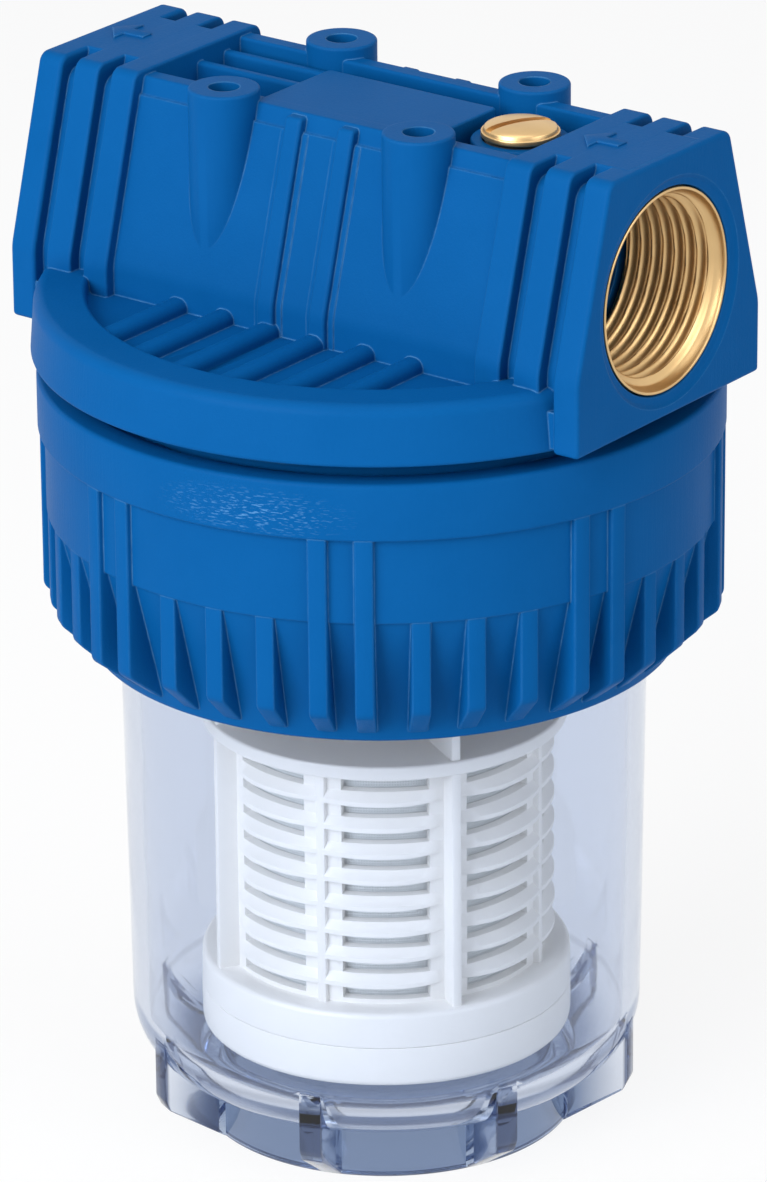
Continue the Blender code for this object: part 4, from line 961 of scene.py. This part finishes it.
def make_head():
    """The head, moulded in one piece: everything is joined first, and then all bores are cut."""
    head = make_disc()
    boss = eased(bar("boss", BOSS_RADIUS, KINK_Z, BOSS_TOP_Z, (BOSS_X, -BOSS_Y), "Z", 72), 0.5, 4, 60)
    forms = [make_beam()] + mirror_images(make_block(), "X") + mirror_images([boss], "XY")
    forms += make_wall_ribs() + make_trough_ribs() + make_well_details()
    worked(head, forms, "UNION", HEAD_SHARP)
    edge_radius, beyond_x = MOUTH_STEP_RADIUS + 0.9, MOUTH_STEP_X + 2.6
    mouth = turned("mouth", rounded([
        (0.0, MOUTH_BACK_X, 0), (MOUTH_RADIUS, MOUTH_BACK_X, 0), (MOUTH_RADIUS, MOUTH_STEP_X, 0.3),
        (MOUTH_STEP_RADIUS, MOUTH_STEP_X + 0.2, 0.3), (edge_radius, MOUTH_STEP_X + 1.0, 0),
        (edge_radius, beyond_x, 0), (0.0, beyond_x, 0)], 4), 96, blue_finish)
    turned_by(mouth, math.radians(90), "Y")
    mouth.data.transform(Matrix.Translation((0, 0, PORT_Z * MM)))
    inside, outside, low = NOZZLE_RADIUS + 0.01, SKIRT_BORE - 0.01, DISC_Z - 1
    room = turned("skirt_room", [(inside, low), (outside, low), (outside, CEILING_Z), (inside, CEILING_Z)], 192,
                  blue_finish)
    hole = bar("boss_hole", BOSS_HOLE_RADIUS, BOSS_TOP_Z - BOSS_HOLE_DEPTH, BOSS_TOP_Z + 1, (BOSS_X, -BOSS_Y),
               "Z", 40)
    vent = bar("vent_hole", VENT_HOLE_RADIUS, PORT_Z, VENT_PAD_Z + 2, (VENT_X, 0.0), "Z", 40)
    vent_bed = bar("vent_bed", VENT_BED_RADIUS, VENT_PAD_Z - VENT_BED_DEPTH, VENT_PAD_Z + 2, (VENT_X, 0.0))
    cuts = mirror_images([mouth], "X") + mirror_images([hole], "XY") + [room, vent, vent_bed] + water_ways()
    worked(head, cuts, "DIFFERENCE", HEAD_SHARP)
    return flat_shaded(head)


head = make_head()
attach(head, "head")
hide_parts("head")

# Each block has a raised arrow on its top, moulded in one with the head from the same blue plastic. Both
# show that the water flows in on the right and out on the left.
ARROW_TIPS = {"inlet": 42.5, "outlet": -58.0}
ARROW_LENGTH = 7.8
ARROW_HEAD = 3.7
ARROW_HALF_WIDTH = 4.2
ARROW_SHAFT = 1.3
ARROW_PROUD = 0.35
for label, tip in ARROW_TIPS.items():
    neck, tail = tip + ARROW_HEAD, tip + ARROW_LENGTH
    arrow = slab(f"{label}_flow_arrow", [
        (tail, -ARROW_SHAFT), (neck, -ARROW_SHAFT), (neck, -ARROW_HALF_WIDTH), (tip, 0),
        (neck, ARROW_HALF_WIDTH), (neck, ARROW_SHAFT), (tail, ARROW_SHAFT)],
        HEAD_TOP_Z - 0.5, HEAD_TOP_Z + ARROW_PROUD, "Z", blue_finish)
    eased(arrow, 0.12, 2, 60)
    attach(arrow, "head")

# Each port has an insert turned from brass, with a 1 inch parallel pipe thread. The head is moulded round
# it, so that only its front rim and its thread show.
INSERT_RADIUS = 17.7
INSERT_FRONT = 59.4
INSERT_LENGTH = 20.0
PIPE_MAJOR = 16.6
PIPE_DEPTH = 1.4
PIPE_PITCH = 2.309
PIPE_STEP = 0.16
PIPE_RUN_IN = 0.3
PIPE_RUN_OUT = 1.7


def turned_brass():
    """Bright brass, unevenly polished, with fine tool marks."""
    made, tree, surface = new_finish("turned_brass", Metallic=1.0)
    place = add(tree, "ShaderNodeTexCoord").outputs["Object"]
    tone = noise(tree, place, scale=90.0, detail=4.0)
    shade = two_tones(tree, tone, (0.55, 0.36, 0.16), (0.78, 0.55, 0.28))
    gloss = fade(tree, tone, (0.0, 1.0), to=(0.30, 0.46))
    marks = noise(tree, place, scale=1800.0, detail=3.0)
    relief = bumped(tree, marks, strength=0.12, distance=0.0001)
    connect(tree, surface, Base_Color=shade, Roughness=gloss, Normal=relief)
    return made


brass_finish = turned_brass()


def make_insert(name, side):
    """The insert is drawn with its mouth up and then laid along x."""
    thread_low, thread_high = PIPE_RUN_IN, INSERT_LENGTH - PIPE_RUN_OUT
    count = round((thread_high - thread_low) / PIPE_STEP)
    outline = [(PIPE_MAJOR, thread_low + (thread_high - thread_low) * i / count) for i in range(count + 1)]
    outline += rounded([(PIPE_MAJOR + 0.5, INSERT_LENGTH - 0.5, 0.3), (PIPE_MAJOR + 0.6, INSERT_LENGTH, 0.15),
                        (INSERT_RADIUS, INSERT_LENGTH, 0.2), (INSERT_RADIUS, 0.0, 0), (PIPE_MAJOR, 0.0, 0)], 3)

    def swell(radius, z, angle):
        """Round thread ridges that fade out before the mouth."""
        if abs(radius - PIPE_MAJOR) > 0.001 or not thread_low <= z <= thread_high:
            return 0.0
        phase = (z / PIPE_PITCH - angle / math.tau) % 1.0
        crest = 0.5 - 0.5 * math.cos(math.tau * phase)
        return -PIPE_DEPTH * crest * min(1.0, (thread_high - z) / 0.8 + 0.02)

    insert = turned(name, outline, 128, brass_finish, swell)
    turned_by(insert, math.radians(90) * side, "Y")
    insert.data.transform(Matrix.Translation((side * (INSERT_FRONT - INSERT_LENGTH) * MM, 0, PORT_Z * MM)))
    return insert


for label, side in (("inlet", 1), ("outlet", -1)):
    insert = make_insert(f"{label}_brass_insert", side)
    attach(insert, "head")
    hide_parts(f"{label}_insert")

# The vent screw is turned from brass and has a domed, slotted head. It is screwed into a pad beside the
# right block and lets air out when the pump is primed. A rubber O-ring seals it.
VENT_HEAD_RADIUS = 6.7
VENT_HEAD_Z = 185.9
VENT_HEAD_SIDE = 1.5
VENT_DOME = 1.2
VENT_SHANK_RADIUS = 4.0
VENT_SHANK_LENGTH = 7.4
VENT_SLOT_TURN = math.radians(63.0)
VENT_SLOT_WIDTH = 1.6
VENT_SLOT_DEPTH = 1.2
VENT_SEAL_RADIUS = 5.25
VENT_SEAL_SECTION = 0.95
VENT_SEAL_Z = 184.65
shank_z = VENT_HEAD_Z - VENT_SHANK_LENGTH
vent_outline = rounded([
    (0.0, shank_z, 0), (VENT_SHANK_RADIUS - 0.6, shank_z, 0), (VENT_SHANK_RADIUS, shank_z + 0.6, 0),
    (VENT_SHANK_RADIUS, VENT_HEAD_Z, 0.2), (VENT_HEAD_RADIUS - 0.3, VENT_HEAD_Z, 0.2),
    (VENT_HEAD_RADIUS, VENT_HEAD_Z + 0.3, 0.1),
    (VENT_HEAD_RADIUS, VENT_HEAD_Z + VENT_HEAD_SIDE, 0.5)], 4)
dome_radius = VENT_HEAD_RADIUS - 0.5
vent_outline += [(dome_radius * math.cos(a), VENT_HEAD_Z + VENT_HEAD_SIDE + VENT_DOME * math.sin(a))
                 for a in (math.radians(90) * k / 12 for k in range(13))]
vent_screw = turned("brass_vent_screw", vent_outline, 96, brass_finish)
slot_low = VENT_HEAD_Z + VENT_HEAD_SIDE + VENT_DOME - VENT_SLOT_DEPTH
slot_x, slot_y = VENT_HEAD_RADIUS + 1.3, VENT_SLOT_WIDTH / 2
slot = slab("screw_slot", [(-slot_x, -slot_y), (slot_x, -slot_y), (slot_x, slot_y), (-slot_x, slot_y)],
            slot_low, slot_low + 4, "Z", brass_finish)
turned_by(slot, VENT_SLOT_TURN)
worked(vent_screw, [slot], "DIFFERENCE")
vent_screw.data.transform(Matrix.Translation((VENT_X * MM, 0, 0)))
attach(vent_screw, "vent_screw")
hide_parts("vent_screw")

vent_seal = round_ring("vent_o_ring", VENT_SEAL_RADIUS, VENT_SEAL_SECTION, VENT_SEAL_Z, 64, rubber_finish)
vent_seal.data.transform(Matrix.Translation((VENT_X * MM, 0, 0)))
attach(vent_seal, "vent_seal")
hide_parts("vent_seal")

# The floor is a plain pale sheet that carries on past the camera's view. It gives off some white light of
# its own towards the camera and through the bowl, so that it keeps only a soft shadow.
FLOOR_SIZE = 6000
FLOOR_SHARE_SEEN = 0.85
FLOOR_SHARE_THROUGH = 0.6


def pale_floor():
    """Matt and nearly white."""
    made, tree, surface = new_finish("pale_floor", Base_Color=(0.85, 0.86, 0.88, 1), Roughness=0.9)
    ray = add(tree, "ShaderNodeLightPath").outputs
    through = figure(tree, "MULTIPLY", ray["Is Transmission Ray"], FLOOR_SHARE_THROUGH)
    straight = figure(tree, "MAXIMUM", ray["Is Camera Ray"], ray["Is Glossy Ray"])
    bright = figure(tree, "MULTIPLY", straight, FLOOR_SHARE_SEEN)
    white = add(tree, "ShaderNodeEmission", {"Color": (1, 1, 1, 1), "Strength": 1.0})
    whole = mixed(tree, figure(tree, "MAXIMUM", through, bright), surface.outputs[0], white.outputs[0])
    connect(tree, tree.nodes["Material Output"], Surface=whole)
    return made


bm = bmesh.new()
bmesh.ops.create_grid(bm, x_segments=1, y_segments=1, size=FLOOR_SIZE)
floor = settled("floor", bm, pale_floor())

# The studio is white all round and has three soft lamps: a large one on the left of the camera, a weaker
# one on its right and a faint one from above.
world = bpy.data.worlds.new("studio")
world.use_nodes = True
bpy.context.scene.world = world
tree = world.node_tree
back = tree.nodes["Background"]
back.inputs["Color"].default_value = (1.0, 1.0, 1.0, 1)
back.inputs["Strength"].default_value = 0.40
seen_back = add(tree, "ShaderNodeBackground", {"Color": (1, 1, 1, 1), "Strength": 1.0})
ray = add(tree, "ShaderNodeLightPath").outputs
seen = figure(tree, "MAXIMUM", ray["Is Camera Ray"], ray["Is Transmission Ray"])
seen_too = figure(tree, "MAXIMUM", seen, ray["Is Glossy Ray"])
surroundings = mixed(tree, seen_too, back.outputs[0], seen_back.outputs[0])
connect(tree, tree.nodes["World Output"], Surface=surroundings)


def lamp(name, azimuth, elevation, distance, size, power):
    """A soft lamp aimed at the middle of the filter; azimuth 0 is in front, 90 on the right."""
    light = bpy.data.lights.new(name, "AREA")
    light.size = size
    light.energy = power
    made = bpy.data.objects.new(name, light)
    bpy.context.scene.collection.objects.link(made)
    a, e = math.radians(azimuth), math.radians(elevation)
    away = Vector((math.sin(a) * math.cos(e), -math.cos(a) * math.cos(e), math.sin(e)))
    made.location = Vector((0, 0, 0.1)) + away * distance
    made.rotation_euler = away.to_track_quat("Z", "Y").to_euler()


lamp("key", azimuth=-5, elevation=28, distance=1.3, size=0.9, power=19)
lamp("fill", azimuth=95, elevation=22, distance=1.4, size=0.8, power=6)
lamp("top", azimuth=20, elevation=80, distance=1.2, size=0.8, power=3)

# The camera stands where the photograph was taken from: right of the front and a little above, with a long
# lens and held a trace askew.
VIEW_AZIMUTH = math.radians(37.18)
VIEW_ELEVATION = math.radians(22.05)
VIEW_ROLL = math.radians(-0.47)
VIEW_DISTANCE = 1.3
VIEW_CENTRE_Z = 0.09688
VIEW_LENS = 228.12
camera_data = bpy.data.cameras.new("camera")
camera_data.sensor_fit = "VERTICAL"
camera_data.sensor_height = 36.0
camera_data.lens = VIEW_LENS
camera = bpy.data.objects.new("camera", camera_data)
bpy.context.scene.collection.objects.link(camera)
backward = Vector((math.sin(VIEW_AZIMUTH) * math.cos(VIEW_ELEVATION),
                   -math.cos(VIEW_AZIMUTH) * math.cos(VIEW_ELEVATION), math.sin(VIEW_ELEVATION)))
right = Vector((math.cos(VIEW_AZIMUTH), math.sin(VIEW_AZIMUTH), 0))
up = backward.cross(right)
rolled_right = right * math.cos(VIEW_ROLL) + up * math.sin(VIEW_ROLL)
rolled_up = backward.cross(rolled_right)
axes = Matrix((rolled_right, rolled_up, backward)).transposed().to_4x4()
camera.matrix_world = Matrix.Translation(Vector((0, 0, VIEW_CENTRE_Z)) + backward * VIEW_DISTANCE) @ axes
camera_data.clip_start = 0.01
camera_data.clip_end = 20.0
bpy.context.scene.camera = camera
bpy.context.scene.view_settings.view_transform = "Standard"
